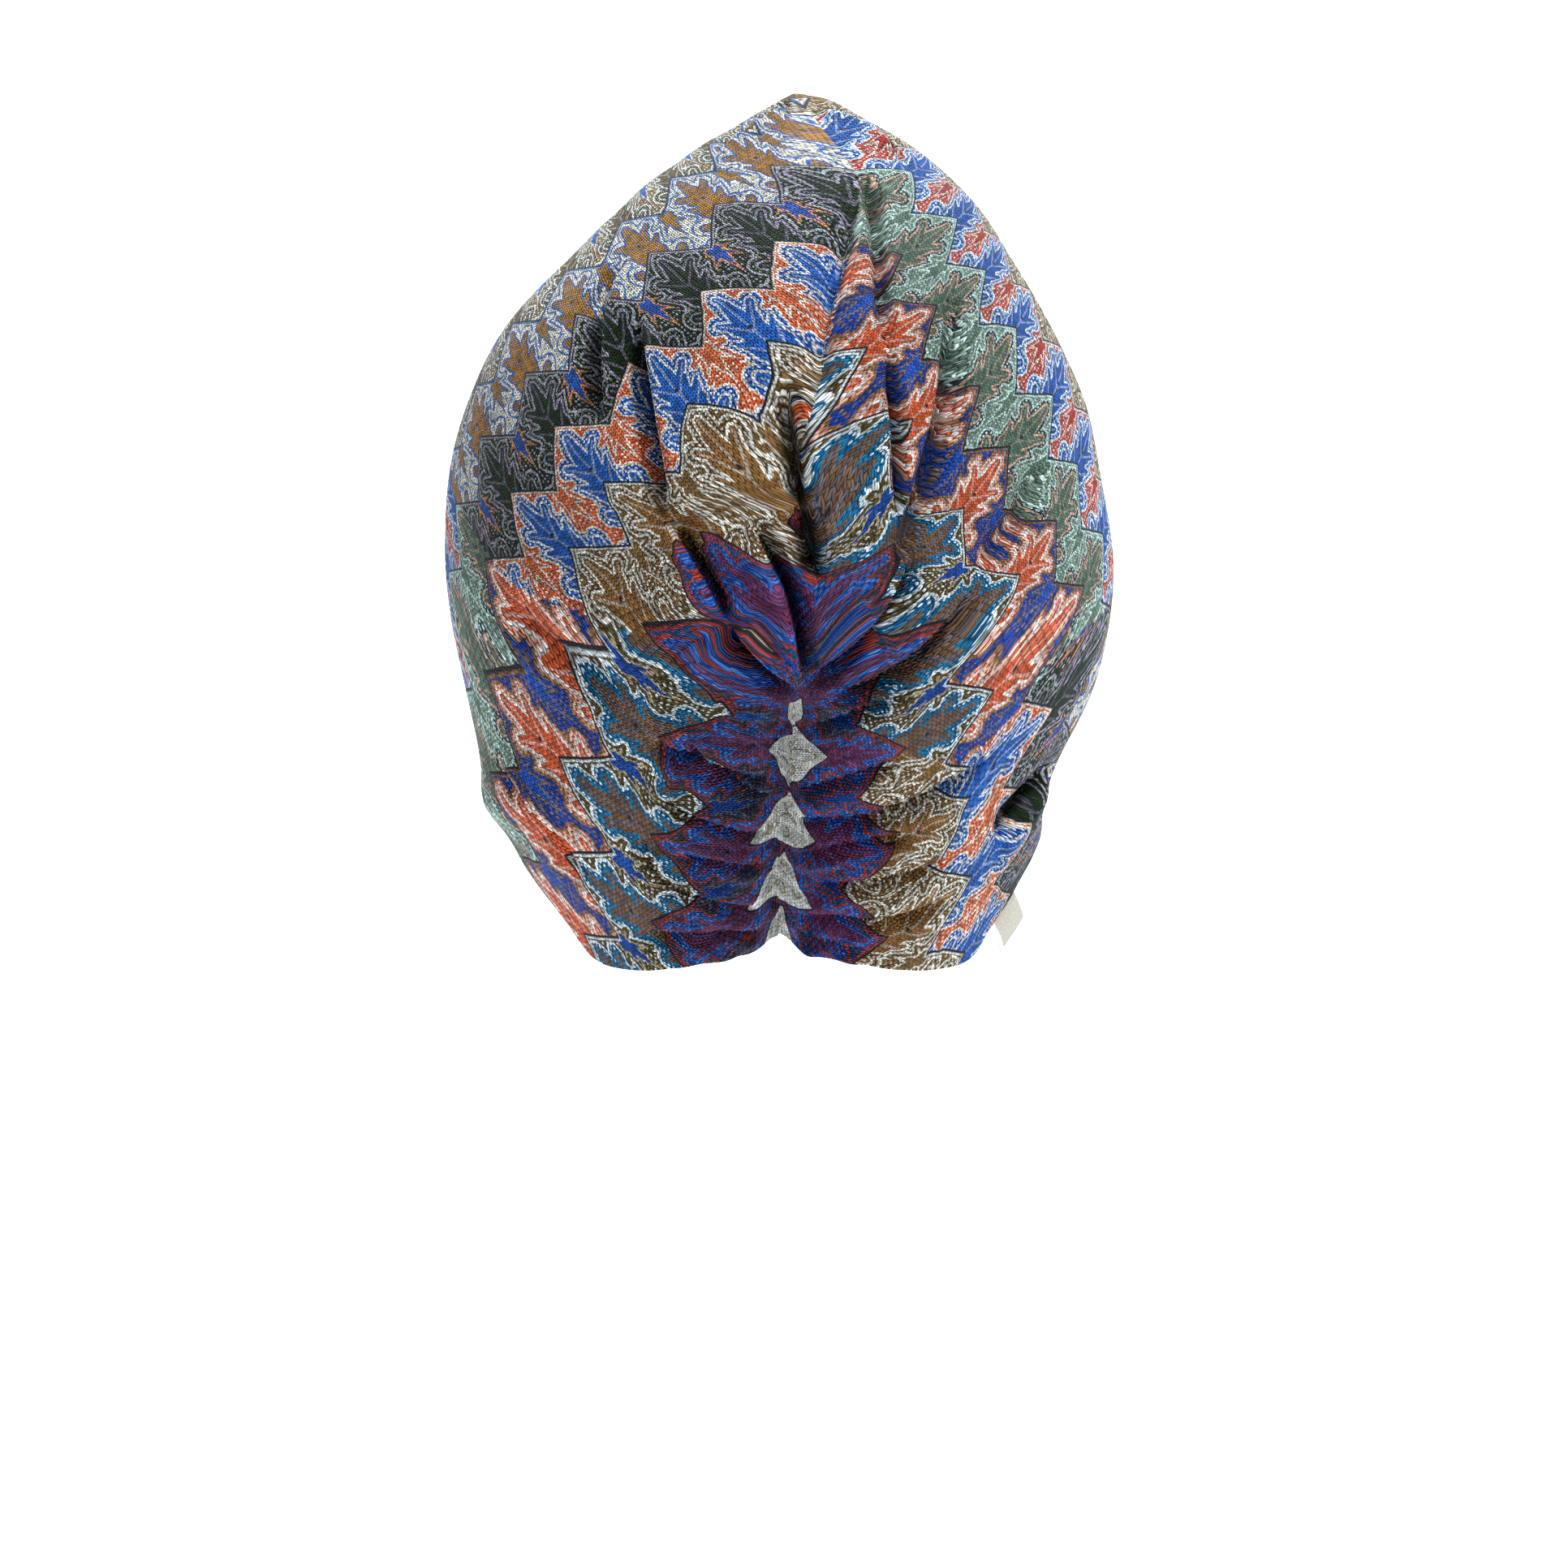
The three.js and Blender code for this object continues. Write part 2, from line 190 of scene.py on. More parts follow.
# Yarn colours of each row of leaves, from the back seam outwards. The rows repeat.
YARN_PARTS = ("core", "line", "main", "dot", "outline", "outer", "drop", "vein")
UPPER_LEFT_ROWS = (
    # core, line, main, dot, outline, outer, drop, vein
    ("#fffdf8", "#c4b496", "#fffdf8", "#e2d6c0", "#fffdf8", "#fbf4e6", "#f2e8d6", "#b8a684"),
    ("#7c3c62", "#4a6ec0", "#2450a6", "#5a8ad8", "#b0443a", "#1d5590", "#2a52ac", "#a8463c"),
    ("#96693a", "#f4efe4", "#6f5230", "#e9dfcc", "#f4f0e6", "#7f5f38", "#8c6a42", "#f4efe4"),
    ("#2f68c0", "#ece8e4", "#2259b4", "#eef2f6", "#fdeadc", "#e0643a", "#e8784e", "#fff0e4"),
    ("#22321e", "#a89ab4", "#182614", "#8a9c78", "#b4aebc", "#1c2c18", "#2f5aae", "#f09a58"),
    ("#b07a30", "#3f6fbb", "#fbf3e4", "#b3843c", "#4877bf", "#f4e8d0", "#a87834", "#3f6fbb"),
    ("#6a5230", "#f4f2ec", "#3a3a2a", "#c8c0a8", "#f4f2ec", "#8a6a3a", "#3d6bb4", "#f4f2ec"),
    ("#c8452f", "#e8ecf4", "#2a58b0", "#e8ecf4", "#e8ecf4", "#2450a0", "#b83c2c", "#e8ecf4"),
)
OTHER_ROWS = (
    ("#fffdf8", "#c4b496", "#fffdf8", "#e2d6c0", "#fffdf8", "#fbf4e6", "#f2e8d6", "#b8a684"),
    ("#74405e", "#4a70c0", "#2450a6", "#6a98dc", "#a8443c", "#34465e", "#2a4e9c", "#6a7078"),
    ("#7e5f4c", "#2a7aa6", "#12608f", "#eef8fa", "#f2f7f8", "#5f4d2b", "#2450a6", "#c9b48a"),
    ("#e0643e", "#fff4ee", "#eebca8", "#cc5038", "#a0704a", "#2448a4", "#2f5abc", "#8a7468"),
    ("#5f7766", "#e0b29c", "#38434c", "#d8efe6", "#cfe8de", "#7d9182", "#6f8676", "#d9eee4"),
    ("#2458ae", "#e6eef4", "#2560b8", "#e8f0f6", "#e6eef4", "#c5432f", "#b83c2c", "#f0d9cc"),
    ("#8a6434", "#efe6d2", "#7c5c34", "#efe6d2", "#e9dcc2", "#6a4c2c", "#a8824e", "#f4ecd9"),
    ("#26321f", "#a89ab0", "#1f2b20", "#8a9a84", "#a09aa8", "#27332b", "#2c5cae", "#c46a4a"),
)


class HatSizes(bpy.types.PropertyGroup):
    """Sizes of the hat and of its knit."""

    height: bpy.props.FloatProperty(
        name="Height", description="Nape hem to peak", default=0.2645, unit="LENGTH"
    )
    width: bpy.props.FloatProperty(
        name="Width", description="Over the sides", default=0.2, unit="LENGTH"
    )
    depth: bpy.props.FloatProperty(
        name="Depth", description="Back to front", default=0.232, unit="LENGTH"
    )
    rise: bpy.props.FloatProperty(
        name="Forehead rise", description="Forehead hem over nape hem", default=0.11, unit="LENGTH"
    )
    wall: bpy.props.FloatProperty(
        name="Cloth", description="Thickness of the knit", default=0.0014, unit="LENGTH"
    )
    peak_right: bpy.props.FloatProperty(
        name="Peak to the right", description="Peak off the middle", default=0.005, unit="LENGTH"
    )
    peak_forward: bpy.props.FloatProperty(
        name="Peak forward", description="Peak towards the face", default=0.008, unit="LENGTH"
    )
    roundness: bpy.props.FloatProperty(
        name="Roundness", description="2 is an ellipse, more is squarer", default=2.2
    )
    row_pitch: bpy.props.FloatProperty(
        name="Row pitch", description="Height of one row of leaves", default=0.04, unit="LENGTH"
    )
    leaf_pitch: bpy.props.FloatProperty(
        name="Leaf pitch", description="Width of one leaf", default=0.027, unit="LENGTH"
    )
    columns: bpy.props.IntProperty(
        name="Columns", description="Mesh columns round the crown", default=400
    )
    rows: bpy.props.IntProperty(
        name="Rows", description="Mesh rows from hem to peak", default=190
    )


class HatColours(bpy.types.PropertyGroup):
    """Colours that aren't in the table of yarns."""

    label: bpy.props.FloatVectorProperty(
        name="Label", description="Colour of the bare label", default=(0.56, 0.5, 0.41),
        subtype="COLOR", min=0.0, max=1.0,
    )
    thread: bpy.props.FloatVectorProperty(
        name="Thread", description="Colour of the label's stitches", default=(0.62, 0.57, 0.48),
        subtype="COLOR", min=0.0, max=1.0,
    )
    floor: bpy.props.FloatVectorProperty(
        name="Floor", description="Colour of floor and backdrop", default=(0.9, 0.9, 0.9),
        subtype="COLOR", min=0.0, max=1.0,
    )


def smooth_table(table, where, column):
    """Reads a column of a table smoothly between its rows."""
    x, y = table[:, 0], table[:, column]
    slope = np.empty_like(y)
    slope[1:-1] = (y[2:] - y[:-2]) / (x[2:] - x[:-2])
    slope[0] = 1.5 * (y[1] - y[0]) / (x[1] - x[0]) - 0.5 * slope[1]
    slope[-1] = 1.5 * (y[-1] - y[-2]) / (x[-1] - x[-2]) - 0.5 * slope[-2]
    i = np.clip(np.searchsorted(x, where) - 1, 0, len(x) - 2)
    h = x[i + 1] - x[i]
    t = np.clip((where - x[i]) / h, 0, 1)
    start = (2 * t**3 - 3 * t**2 + 1) * y[i] + (t**3 - 2 * t**2 + t) * h * slope[i]
    return start + (3 * t**2 - 2 * t**3) * y[i + 1] + (t**3 - t**2) * h * slope[i + 1]


def smoothstep(value, low, high):
    t = np.clip((value - low) / (high - low), 0, 1)
    return t * t * (3 - 2 * t)


def signed_power(value, power):
    return np.sign(value) * np.abs(value) ** power


def smooth_form(sizes, angle, z):
    """Points of the form without folds. Angle 0 is the back, a quarter turn the right."""
    up = z / sizes.height
    left, right, back, front = (smooth_table(SECTIONS, up, i) for i in (1, 2, 3, 4))
    across = signed_power(np.sin(angle), 2 / sizes.roundness)
    along = -signed_power(np.cos(angle), 2 / sizes.roundness)
    lean = up**6
    return np.stack([
        sizes.peak_right * lean + across * sizes.width * np.where(across > 0, right, left),
        sizes.peak_forward * lean + along * sizes.depth * np.where(along > 0, front, back),
        z,
    ], axis=-1)


def smooth_normal(sizes, angle, z):
    step = sizes.height * 0.004
    high = np.minimum(z + step, sizes.height * 0.998)
    middle = high - step
    around = smooth_form(sizes, angle + 0.02, middle) - smooth_form(sizes, angle - 0.02, middle)
    upward = smooth_form(sizes, angle, high) - smooth_form(sizes, angle, high - 2 * step)
    normal = np.cross(around, upward)
    length = np.linalg.norm(normal, axis=-1, keepdims=True)
    normal = normal / np.maximum(length, 1e-12)
    normal[z > sizes.height * 0.999] = (0, 0, 1)
    return normal


def hem_height(sizes, angle):
    turn = np.arccos(np.clip(np.cos(angle), -1, 1)) / math.pi
    return smooth_table(HEM, turn, 1) * sizes.rise


def bezier_through(a, b, c, steps):
    t = np.linspace(0, 1, steps + 1)[:, None]
    a, b, c = (np.array(p, dtype=float) for p in (a, b, c))
    middle = 2 * b - 0.5 * (a + c)
    return (1 - t) ** 2 * a + 2 * t * (1 - t) * middle + t**2 * c


def place_on_back(sizes, left, top):
    """Turn and height share of the place on the back that the camera sees there."""
    away = CAMERA_AWAY - 0.5 * sizes.depth
    for _ in range(4):
        step = SEEN_WIDTH / SEEN_STEPS * away / CAMERA_AWAY
        x = (left - SEEN_MIDDLE) * step + SEEN_CENTRE[0]
        z = (SEEN_MIDDLE - top) * step + SEEN_CENTRE[1]
        up = np.clip(z / sizes.height, 0, 0.99)
        share = smooth_table(SECTIONS, up, 1 if left < SEEN_MIDDLE else 2)
        reach = (x - sizes.peak_right * up**6) / (sizes.width * share)
        angle = math.asin(signed_power(np.clip(reach, -1, 1), sizes.roundness / 2))
        away = CAMERA_AWAY + smooth_form(sizes, angle, up * sizes.height)[1]
    return angle / math.pi, z / sizes.height


def fold_distance(line, turn, up, radius, height):
    """Signed distance in millimetres to a fold's line, left of it positive, and how far along."""
    wide, tall = math.pi * radius / MM, height / MM
    nearest = np.full(turn.shape, np.inf)
    side = np.zeros_like(nearest)
    along = np.zeros_like(nearest)
    for i, (start, end) in enumerate(zip(line[:-1], line[1:])):
        px, pz = (turn - start[0]) * wide, (up - start[1]) * tall
        dx, dz = (end[0] - start[0]) * wide, (end[1] - start[1]) * tall
        share = np.clip((px * dx + pz * dz) / (dx * dx + dz * dz), 0, 1)
        distance = np.hypot(px - share * dx, pz - share * dz)
        closer = distance < nearest
        nearest = np.where(closer, distance, nearest)
        side = np.where(closer, np.sign(dx * pz - dz * px) * distance, side)
        along = np.where(closer, (i + share) / (len(line) - 1), along)
    return side, along


def fold_relief(sizes, angle, z, radius):
    """How far the folds lift the cloth in millimetres, their pattern shift and the painted shade of
    their deep creases.
    """
    turn, up = angle / math.pi, z / sizes.height
    low = np.zeros_like(turn)
    high = np.zeros_like(turn)
    shift = np.zeros_like(turn)
    crease_shade = np.zeros_like(turn)
    for fold in FOLDS:
        width, depth, lip, reach = fold[7:]
        # Shallow folds are doubled, and deep ones level off at 16 mm.
        depth, lip = 16 * math.tanh(depth / 8), 1.5 * lip
        line = bezier_through(*(place_on_back(sizes, *fold[i : i + 2]) for i in (1, 3, 5)), 8)
        side, along = fold_distance(line, turn, up, radius, sizes.height)
        taper = smoothstep(np.minimum(along, 1 - along), 0.0, 0.28)
        lapped = side * (1 if lip > 0 else -1)
        soft = np.where(lapped > 0, 0.35 if abs(lip) > LAP_LIP else 1.0, 1.0)
        valley = np.exp(-((side / (width * soft)) ** 2)) * depth
        bulge = np.where(lapped > 0, np.exp(-((np.abs(lapped) / reach) ** 1.6)), 0) * abs(lip)
        low = np.minimum(low, -valley * taper)
        # Painted shade: the middle of each deep crease except the seam's is marked here, to be
        # darkened in the knit's colour.
        core = np.exp(-((side / (0.55 * width * soft)) ** 2)) * min(depth / 12, 1)
        crease_shade = np.maximum(crease_shade, core * taper * (fold[0] != "seam"))
        high = np.maximum(high, bulge * taper)
        if abs(lip) > LAP_LIP:
            fade = np.exp(-np.abs(side) / 30) * np.tanh(side / 0.7)
            shift += 0.35 * taper * fade * depth / 12
    return low + high, shift, crease_shade


def cloth_relief(angle, z, radius):
    """Soft waves, gather ripples beside the seam and fine wrinkles, in millimetres."""
    x, y = angle * radius / MM, z / MM
    waves = 1.1 * np.sin(x / 23 + 1.3 * np.sin(y / 41)) * np.sin(y / 37 + 0.8 * np.sin(x / 31))
    fan = y - 0.012 * x * x * np.exp(-np.abs(x) / 60)
    near_seam = np.exp(-((x - 2) / 26) ** 2) * (1 - smoothstep(y, 70, 100))
    ripples = np.sin(fan * 1.02 + 0.9 * np.sin(fan / 5.3) + np.sign(x) * 0.9)
    fine = np.sin(fan * 2.1 + x / 9) * np.sin(x / 7.1 + y / 13)
    wrinkles = np.sin(x / 5.3 + 2.1 * np.sin(y / 19)) * np.sin(y / 27 + x / 61)
    return waves + near_seam * (1.1 * ripples + 0.35 * fine) + 0.22 * wrinkles


def front_relief(sizes, point):
    """Pleats that fan out of the twist over the front."""
    middle = 0.5 * (sizes.rise + sizes.height)
    reach = np.hypot(point[..., 0], point[..., 2] - middle) / MM
    fan = np.arctan2(np.abs(point[..., 0]), point[..., 2] - middle)
    near = smoothstep(reach, 18, 45)
    far = 1 - smoothstep(reach, 60, 115)
    pleats = 0.5 + 0.5 * np.cos(13 * fan + 0.6 * np.sin(5 * fan) + reach / 60)
    return -3.4 * near * far * pleats**1.5


def way_up_the_back(sizes, count):
    """Shares of the height, and how far along the cloth each of them is from the lowest."""
    heights = np.linspace(0, 1, count)
    back = smooth_table(SECTIONS, heights, 3) * sizes.depth
    steps = np.hypot(np.diff(back), np.diff(heights) * sizes.height)
    return heights, np.concatenate([[0], np.cumsum(steps)])


def row_coordinates(sizes, angle, z, side, shift):
    """Where the cloth lies in its own pattern: leaves along a row, and rows out from the seam."""
    up = z / sizes.height
    girth = 0.5 * sizes.width * (smooth_table(SECTIONS, up, 1) + smooth_table(SECTIONS, up, 2))
    apex = smooth_table(APEX_LINE, up, 1) * math.pi
    out = side * (angle - apex) * girth / MM
    heights, arc = way_up_the_back(sizes, 200)
    seam_head = np.interp(SEAM_HEAD, heights, arc)
    rise = (np.interp(up, heights, arc) - seam_head) / MM
    above = np.logaddexp(0, rise / 6) * 6
    below = smoothstep(-rise, -25, 5)
    corner = (4 if side > 0 else 15) * smoothstep(rise, -10, 30) + 2
    spread = np.sqrt(out**2 + corner**2) - corner
    fall = (9 if side > 0 else -9) * (1 - np.exp(-spread / 60))
    rows = above + (1.3 if side > 0 else 1.45) * spread + below * fall
    rows += below * (4 + 17 * (1 - np.exp(-np.abs(out) / 5)))
    head = smoothstep(rise, -16, -6) * (1 - smoothstep(rise, 40, 110))
    rows += 22 * head * np.exp(-((out / 18) ** 2))
    rows -= (0.4 if side < 0 else 0.1) * np.logaddexp(0, (out - 45) / 8) * 8
    gather = 1 + 0.7 * np.exp(-np.abs(out) / 20) * (1 - smoothstep(rise, -20, 20))
    fallen = np.minimum(rise, 0)
    leaves = 0.79 * rise * gather + 0.005 * out * fallen - 0.61 * out * np.exp(fallen / 120)
    u = side * leaves * MM / sizes.leaf_pitch + 0.5 * shift
    v = rows * MM / sizes.row_pitch + 0.25 * shift
    return u, v


def upper_left_mask(angle, z, height):
    """1 where the cloth shows the first family of rows: the upper left and the lower right."""
    turn, up = angle / math.pi, z / height
    left = turn < np.interp(up, APEX_LINE[:, 0], APEX_LINE[:, 1])
    upper = left & (up > np.interp(turn, LEFT_JOIN[:, 0], LEFT_JOIN[:, 1]))
    lower = (turn > 0) & (up < np.interp(turn, RIGHT_JOIN[:, 0], RIGHT_JOIN[:, 1]))
    return upper | lower


def new_object(name, mesh):
    piece = bpy.data.objects.new(name, mesh)
    bpy.context.scene.collection.objects.link(piece)
    return piece


def mesh_from_corners(name, points, corners, starts):
    """A smooth mesh from points, the point at each face corner and where each face starts."""
    mesh = bpy.data.meshes.new(name)
    mesh.vertices.add(len(points))
    mesh.vertices.foreach_set("co", points.astype(np.float32).ravel())
    mesh.loops.add(len(corners))
    mesh.loops.foreach_set("vertex_index", corners.astype(np.int32))
    mesh.polygons.add(len(starts))
    mesh.polygons.foreach_set("loop_start", starts.astype(np.int32))
    mesh.update(calc_edges=True)
    mesh.polygons.foreach_set("use_smooth", np.ones(len(starts), dtype=bool))
    return mesh


def closed_rings(name, rings, top, bottom):
    """A closed mesh of rings from one pole to the other. The last column repeats the first."""
    count, columns = rings.shape[0], rings.shape[1] - 1
    points = np.concatenate([rings[:, :-1].reshape(-1, 3), [top, bottom]])
    ring, column = np.meshgrid(np.arange(count - 1), np.arange(columns), indexing="ij")
    corner_rings = np.stack([ring, ring + 1, ring + 1, ring], axis=-1).reshape(-1, 4)
    corner_columns = np.stack([column, column, column + 1, column + 1], axis=-1).reshape(-1, 4)
    quads = corner_rings * columns + corner_columns % columns
    here = np.arange(columns)
    there = (here + 1) % columns
    last = (count - 1) * columns
    caps = np.concatenate([
        np.stack([np.full(columns, count * columns), here, there], axis=-1),
        np.stack([last + here, np.full(columns, count * columns + 1), last + there], axis=-1),
    ])
    starts = np.concatenate([np.arange(len(quads)) * 4, quads.size + np.arange(len(caps)) * 3])
    corners = np.concatenate([quads.ravel(), caps.ravel()])
    mesh = mesh_from_corners(name, points, corners, starts)
    flat_rings = np.concatenate([
        corner_rings.ravel(), np.zeros(3 * columns, dtype=int), np.full(3 * columns, count - 1)
    ])
    cap_columns = np.stack([here, here, here + 1], axis=-1).ravel()
    flat_columns = np.concatenate([corner_columns.ravel(), cap_columns, cap_columns])
    return mesh, flat_rings, flat_columns


def add_pattern(mesh, u, v, panel, crease_shade):
    """Gives each corner its place in the leaf pattern, its family of rows and its painted crease
    shade.
    """
    layer = mesh.uv_layers.new(name="knit")
    layer.data.foreach_set("uv", np.stack([u, v], axis=-1).astype(np.float32).ravel())
    for name, values in (("panel", panel), ("crease_shade", crease_shade)):
        attribute = mesh.attributes.new(name, "FLOAT", "CORNER")
        attribute.data.foreach_set("value", values.astype(np.float32))


def lowest_nearby(values, reach):
    """The lowest value within that many rows and one column."""
    lowest = values.copy()
    for step in range(1, reach + 1):
        lowest[step:] = np.minimum(lowest[step:], values[:-step])
        lowest[:-step] = np.minimum(lowest[:-step], values[step:])
    sides = np.minimum(np.roll(lowest, 1, axis=1), np.roll(lowest, -1, axis=1))
    return np.minimum(lowest, sides)


def crown_mesh(sizes):
    """The crown as one closed wall of cloth with a rolled hem."""
    turn = np.linspace(-math.pi, math.pi, sizes.columns + 1)
    across = turn - 0.62 * np.sin(turn)
    heights, arc = way_up_the_back(sizes, 400)
    share = np.linspace(0, 1, sizes.rows + 1)[:-1, None]
    start = np.interp(hem_height(sizes, across) / sizes.height, heights, arc)[None]
    place = start + (arc[-1] - start) * (0.64 * share + 0.36 * share**2)
    z = np.interp(place, arc, heights) * sizes.height
    angle = np.broadcast_to(across, z.shape)

    point = smooth_form(sizes, angle, z)
    normal = smooth_normal(sizes, angle, z)
    relief, shift, crease_shade = crown_relief(sizes, angle, z, point)
    relief[:, -1] = relief[:, 0]
    outer = point + normal * relief[..., None] * MM

    inner_rows = np.unique(np.concatenate([np.arange(0, 12, 2), np.arange(12, sizes.rows, 5)]))
    depth = lowest_nearby(relief, 5)[inner_rows] * MM - sizes.wall
    depth[:3] = relief[inner_rows[:3]] * MM - sizes.wall
    inner = point[inner_rows] + normal[inner_rows] * depth[..., None]

    roll = np.linspace(0, math.pi, 7)[1:-1, None, None]
    half = 0.5 * sizes.wall
    rim = outer[0] + normal[0] * half * (np.cos(roll) - 1) - np.array([0, 0, half]) * np.sin(roll)

    rings = np.concatenate([outer[::-1], rim, inner])
    peak = smooth_form(sizes, np.zeros(1), np.full(1, sizes.height))[0]
    mesh, ring, column = closed_rings("crown_cloth", rings, peak, peak - [0, 0, 2 * sizes.wall])

    order = np.concatenate([
        np.arange(sizes.rows)[::-1], np.zeros(len(roll), dtype=int), inner_rows
    ])
    row = order[ring]
    face = loop_faces(mesh)
    middle = np.bincount(face, weights=across[column]) / np.bincount(face)
    level = np.bincount(face, weights=z[row, column]) / np.bincount(face)
    apex = smooth_table(APEX_LINE, level / sizes.height, 1) * math.pi
    right = (middle > apex)[face]
    sides = [row_coordinates(sizes, angle, z, side, shift) for side in (-1, 1)]
    u, v = (np.where(right, sides[1][i][row, column], sides[0][i][row, column]) for i in (0, 1))
    panel = upper_left_mask(middle, level, sizes.height).astype(float)[face]
    add_pattern(mesh, u, v, panel, crease_shade[row, column])
    return mesh


def loop_faces(mesh):
    """The number of the face that each corner belongs to."""
    sizes = np.empty(len(mesh.polygons), dtype=np.int32)
    mesh.polygons.foreach_get("loop_total", sizes)
    return np.repeat(np.arange(len(sizes)), sizes)


def crown_relief(sizes, angle, z, point):
    """How far the cloth lies off the smooth form, in millimetres, its pattern's shift and its
    painted crease shade.
    """
    radius = np.hypot(point[..., 0], point[..., 1])
    back = smoothstep(np.cos(angle), -0.1, 0.2)
    folds, shift, crease_shade = fold_relief(sizes, angle, z, radius)
    relief = back * folds
    relief += cloth_relief(angle, z, radius) * (1 - smoothstep(np.abs(angle), 2.6, 3.1))
    relief += smoothstep(-np.cos(angle), 0.0, 0.4) * front_relief(sizes, point)
    relief *= 1 - smoothstep(z / sizes.height, 0.985, 1.0)
    return relief, shift * back, crease_shade * back


def front_angle(sizes, across, z):
    """The turn at which the front lies that far off the leaning middle line."""
    up = z / sizes.height
    left, right = smooth_table(SECTIONS, up, 1), smooth_table(SECTIONS, up, 2)
    reach = np.clip(across / (sizes.width * np.where(across > 0, right, left)), -1, 1)
    return math.pi - np.arcsin(signed_power(reach, sizes.roundness / 2))


def strand(across, rise, lean, tuck):
    """Height in millimetres of one gathered strand, and how far across it a point lies."""
    offset = (across - lean * 0.45 * np.cos(math.pi * rise)) / 0.55
    roll = np.sqrt(np.maximum(0, 1 - offset**2))
    under = 1 - tuck * np.exp(-(((rise - 0.5) / 0.16) ** 2))
    gathers = 1.5 * np.cos(3 * math.pi * offset) + 0.5 * np.cos(17 * offset + 9 * rise)
    wander = 0.5 * np.sin(29 * offset + 5 * np.sin(7 * rise))
    return roll * (14 * under + gathers + wander), offset


def twist_mesh(sizes):
    """Two gathered strands that cross at the front, as one closed piece on the crown."""
    columns, rows = 130, 200
    across, rise = np.meshgrid(np.linspace(1, -1, columns), np.linspace(0, 1, rows))
    low = sizes.rise + 0.006
    z = low + (0.945 * sizes.height - low) * rise
    half = 0.033 * (0.72 + 0.9 * np.abs(rise - 0.45) ** 1.5 - 0.6 * rise**4)
    angle = front_angle(sizes, half * across, z)
    point = smooth_form(sizes, angle, z)
    normal = smooth_normal(sizes, angle, z)
    over, over_offset = strand(-across, rise, 1, 0)
    under, under_offset = strand(-across, rise, -1, 0.6)
    ends = 1 - (2 * rise - 1) ** 8
    height = np.maximum(np.maximum(over, under) * ends, 1.2) * MM
    front = point + normal * (height[..., None] + 0.0006)
    back = point + normal * 0.0004
    mesh, corner = closed_patch("twist_cloth", front, back)
    first = over > under
    offset = np.where(first, over_offset, under_offset)
    u = offset * 0.9 + 0.25 + np.where(first, 0.0, 0.5)
    v = rise * 3.6 + np.where(first, 0.2, 2.7)
    # Painted shade where the two strands meet, darkened in the knit's colour like the crease shade.
    crossing_shade = 0.9 * np.exp(-(((over - under) / 2.2) ** 2))
    corner %= rows * columns
    add_pattern(mesh, *(a.ravel()[corner] for a in (u, v, first.astype(float), crossing_shade)))
    return mesh


def closed_patch(name, front, back):
    """A closed mesh of a front and a back sheet of the same grid, and each corner's point."""
    rows, columns = front.shape[:2]
    points = np.concatenate([front.reshape(-1, 3), back.reshape(-1, 3)])
    row, column = np.meshgrid(np.arange(rows - 1), np.arange(columns - 1), indexing="ij")
    first = (row * columns + column).ravel()
    sheet = np.stack([first, first + 1, first + columns + 1, first + columns], axis=-1)
    edge = np.concatenate([
        np.arange(columns - 1),
        np.arange(rows - 1) * columns + columns - 1,
        (rows - 1) * columns + np.arange(columns - 1, 0, -1),
        np.arange(rows - 1, 0, -1) * columns,
    ])
    following = np.roll(edge, -1)
    shift = rows * columns
    wall = np.stack([following, edge, edge + shift, following + shift], axis=-1)
    faces = np.concatenate([sheet, sheet[:, ::-1] + shift, wall])
    corners = faces.ravel()
    return mesh_from_corners(name, points, corners, np.arange(0, len(corners), 4)), corners


def rim_points(sizes, angle):
    """Points halfway through the cloth at the hem, and the way out of the cloth there."""
    z = hem_height(sizes, angle)
    point = smooth_form(sizes, angle, z)
    normal = smooth_normal(sizes, angle, z)
    relief, _, _ = crown_relief(sizes, angle, z, point)
    return point + normal * (relief[..., None] * MM - 0.5 * sizes.wall), normal


def label_surface(sizes, across, path):
    """Middle of the folded tape and the step to its outer face, from one sewn end to the other."""
    turn = LABEL_TURN * math.pi
    ends, outward = rim_points(sizes, np.array([turn - 0.05, turn, turn + 0.05]))
    tangent = (ends[2] - ends[0]) / np.linalg.norm(ends[2] - ends[0])
    span = 0.1 * LABEL_HEIGHT / np.linalg.norm(ends[2] - ends[0])
    root, _ = rim_points(sizes, turn + span * across)
    down = np.cross(tangent, outward[1])
    reach = down / np.linalg.norm(down) + 0.5 * outward[1]
    reach /= np.linalg.norm(reach)
    through = np.cross(reach, tangent)
    gap, half = 0.00038, 0.00017
    straight = LABEL_REACH - gap
    bend = np.clip((0.05 - np.abs(path)) / 0.05, 0, 1) * math.pi / 2
    out = np.minimum((1 - np.abs(path)) / 0.95, 1) * straight + gap * np.sin(bend)
    side = np.sign(path) * gap * np.cos(bend)
    bow = 0.0008 * np.sin(math.pi * out / LABEL_REACH) * np.cos(2.4 * across)
    middle = root + reach * (0.0006 + out)[..., None] + through * (side + bow)[..., None]
    outer = reach * (np.sin(bend) * half)[..., None]
    return middle, outer + through * (np.where(path > 0, 1, -1) * np.cos(bend) * half)[..., None]


def label_mesh(sizes):
    """A tape folded double and sewn into the hem, its fold at the free end."""
    across, path = np.meshgrid(np.linspace(-0.5, 0.5, 21), np.linspace(-1, 1, 61))
    middle, outer = label_surface(sizes, across, path)
    mesh, corner = closed_patch("label_tape", middle + outer, middle - outer)
    corner %= across.size
    layer = mesh.uv_layers.new(name="tape")
    uv = np.stack([across.ravel()[corner] * 14.5, path.ravel()[corner] * 11], axis=-1)
    layer.data.foreach_set("uv", uv.astype(np.float32).ravel())
    return mesh


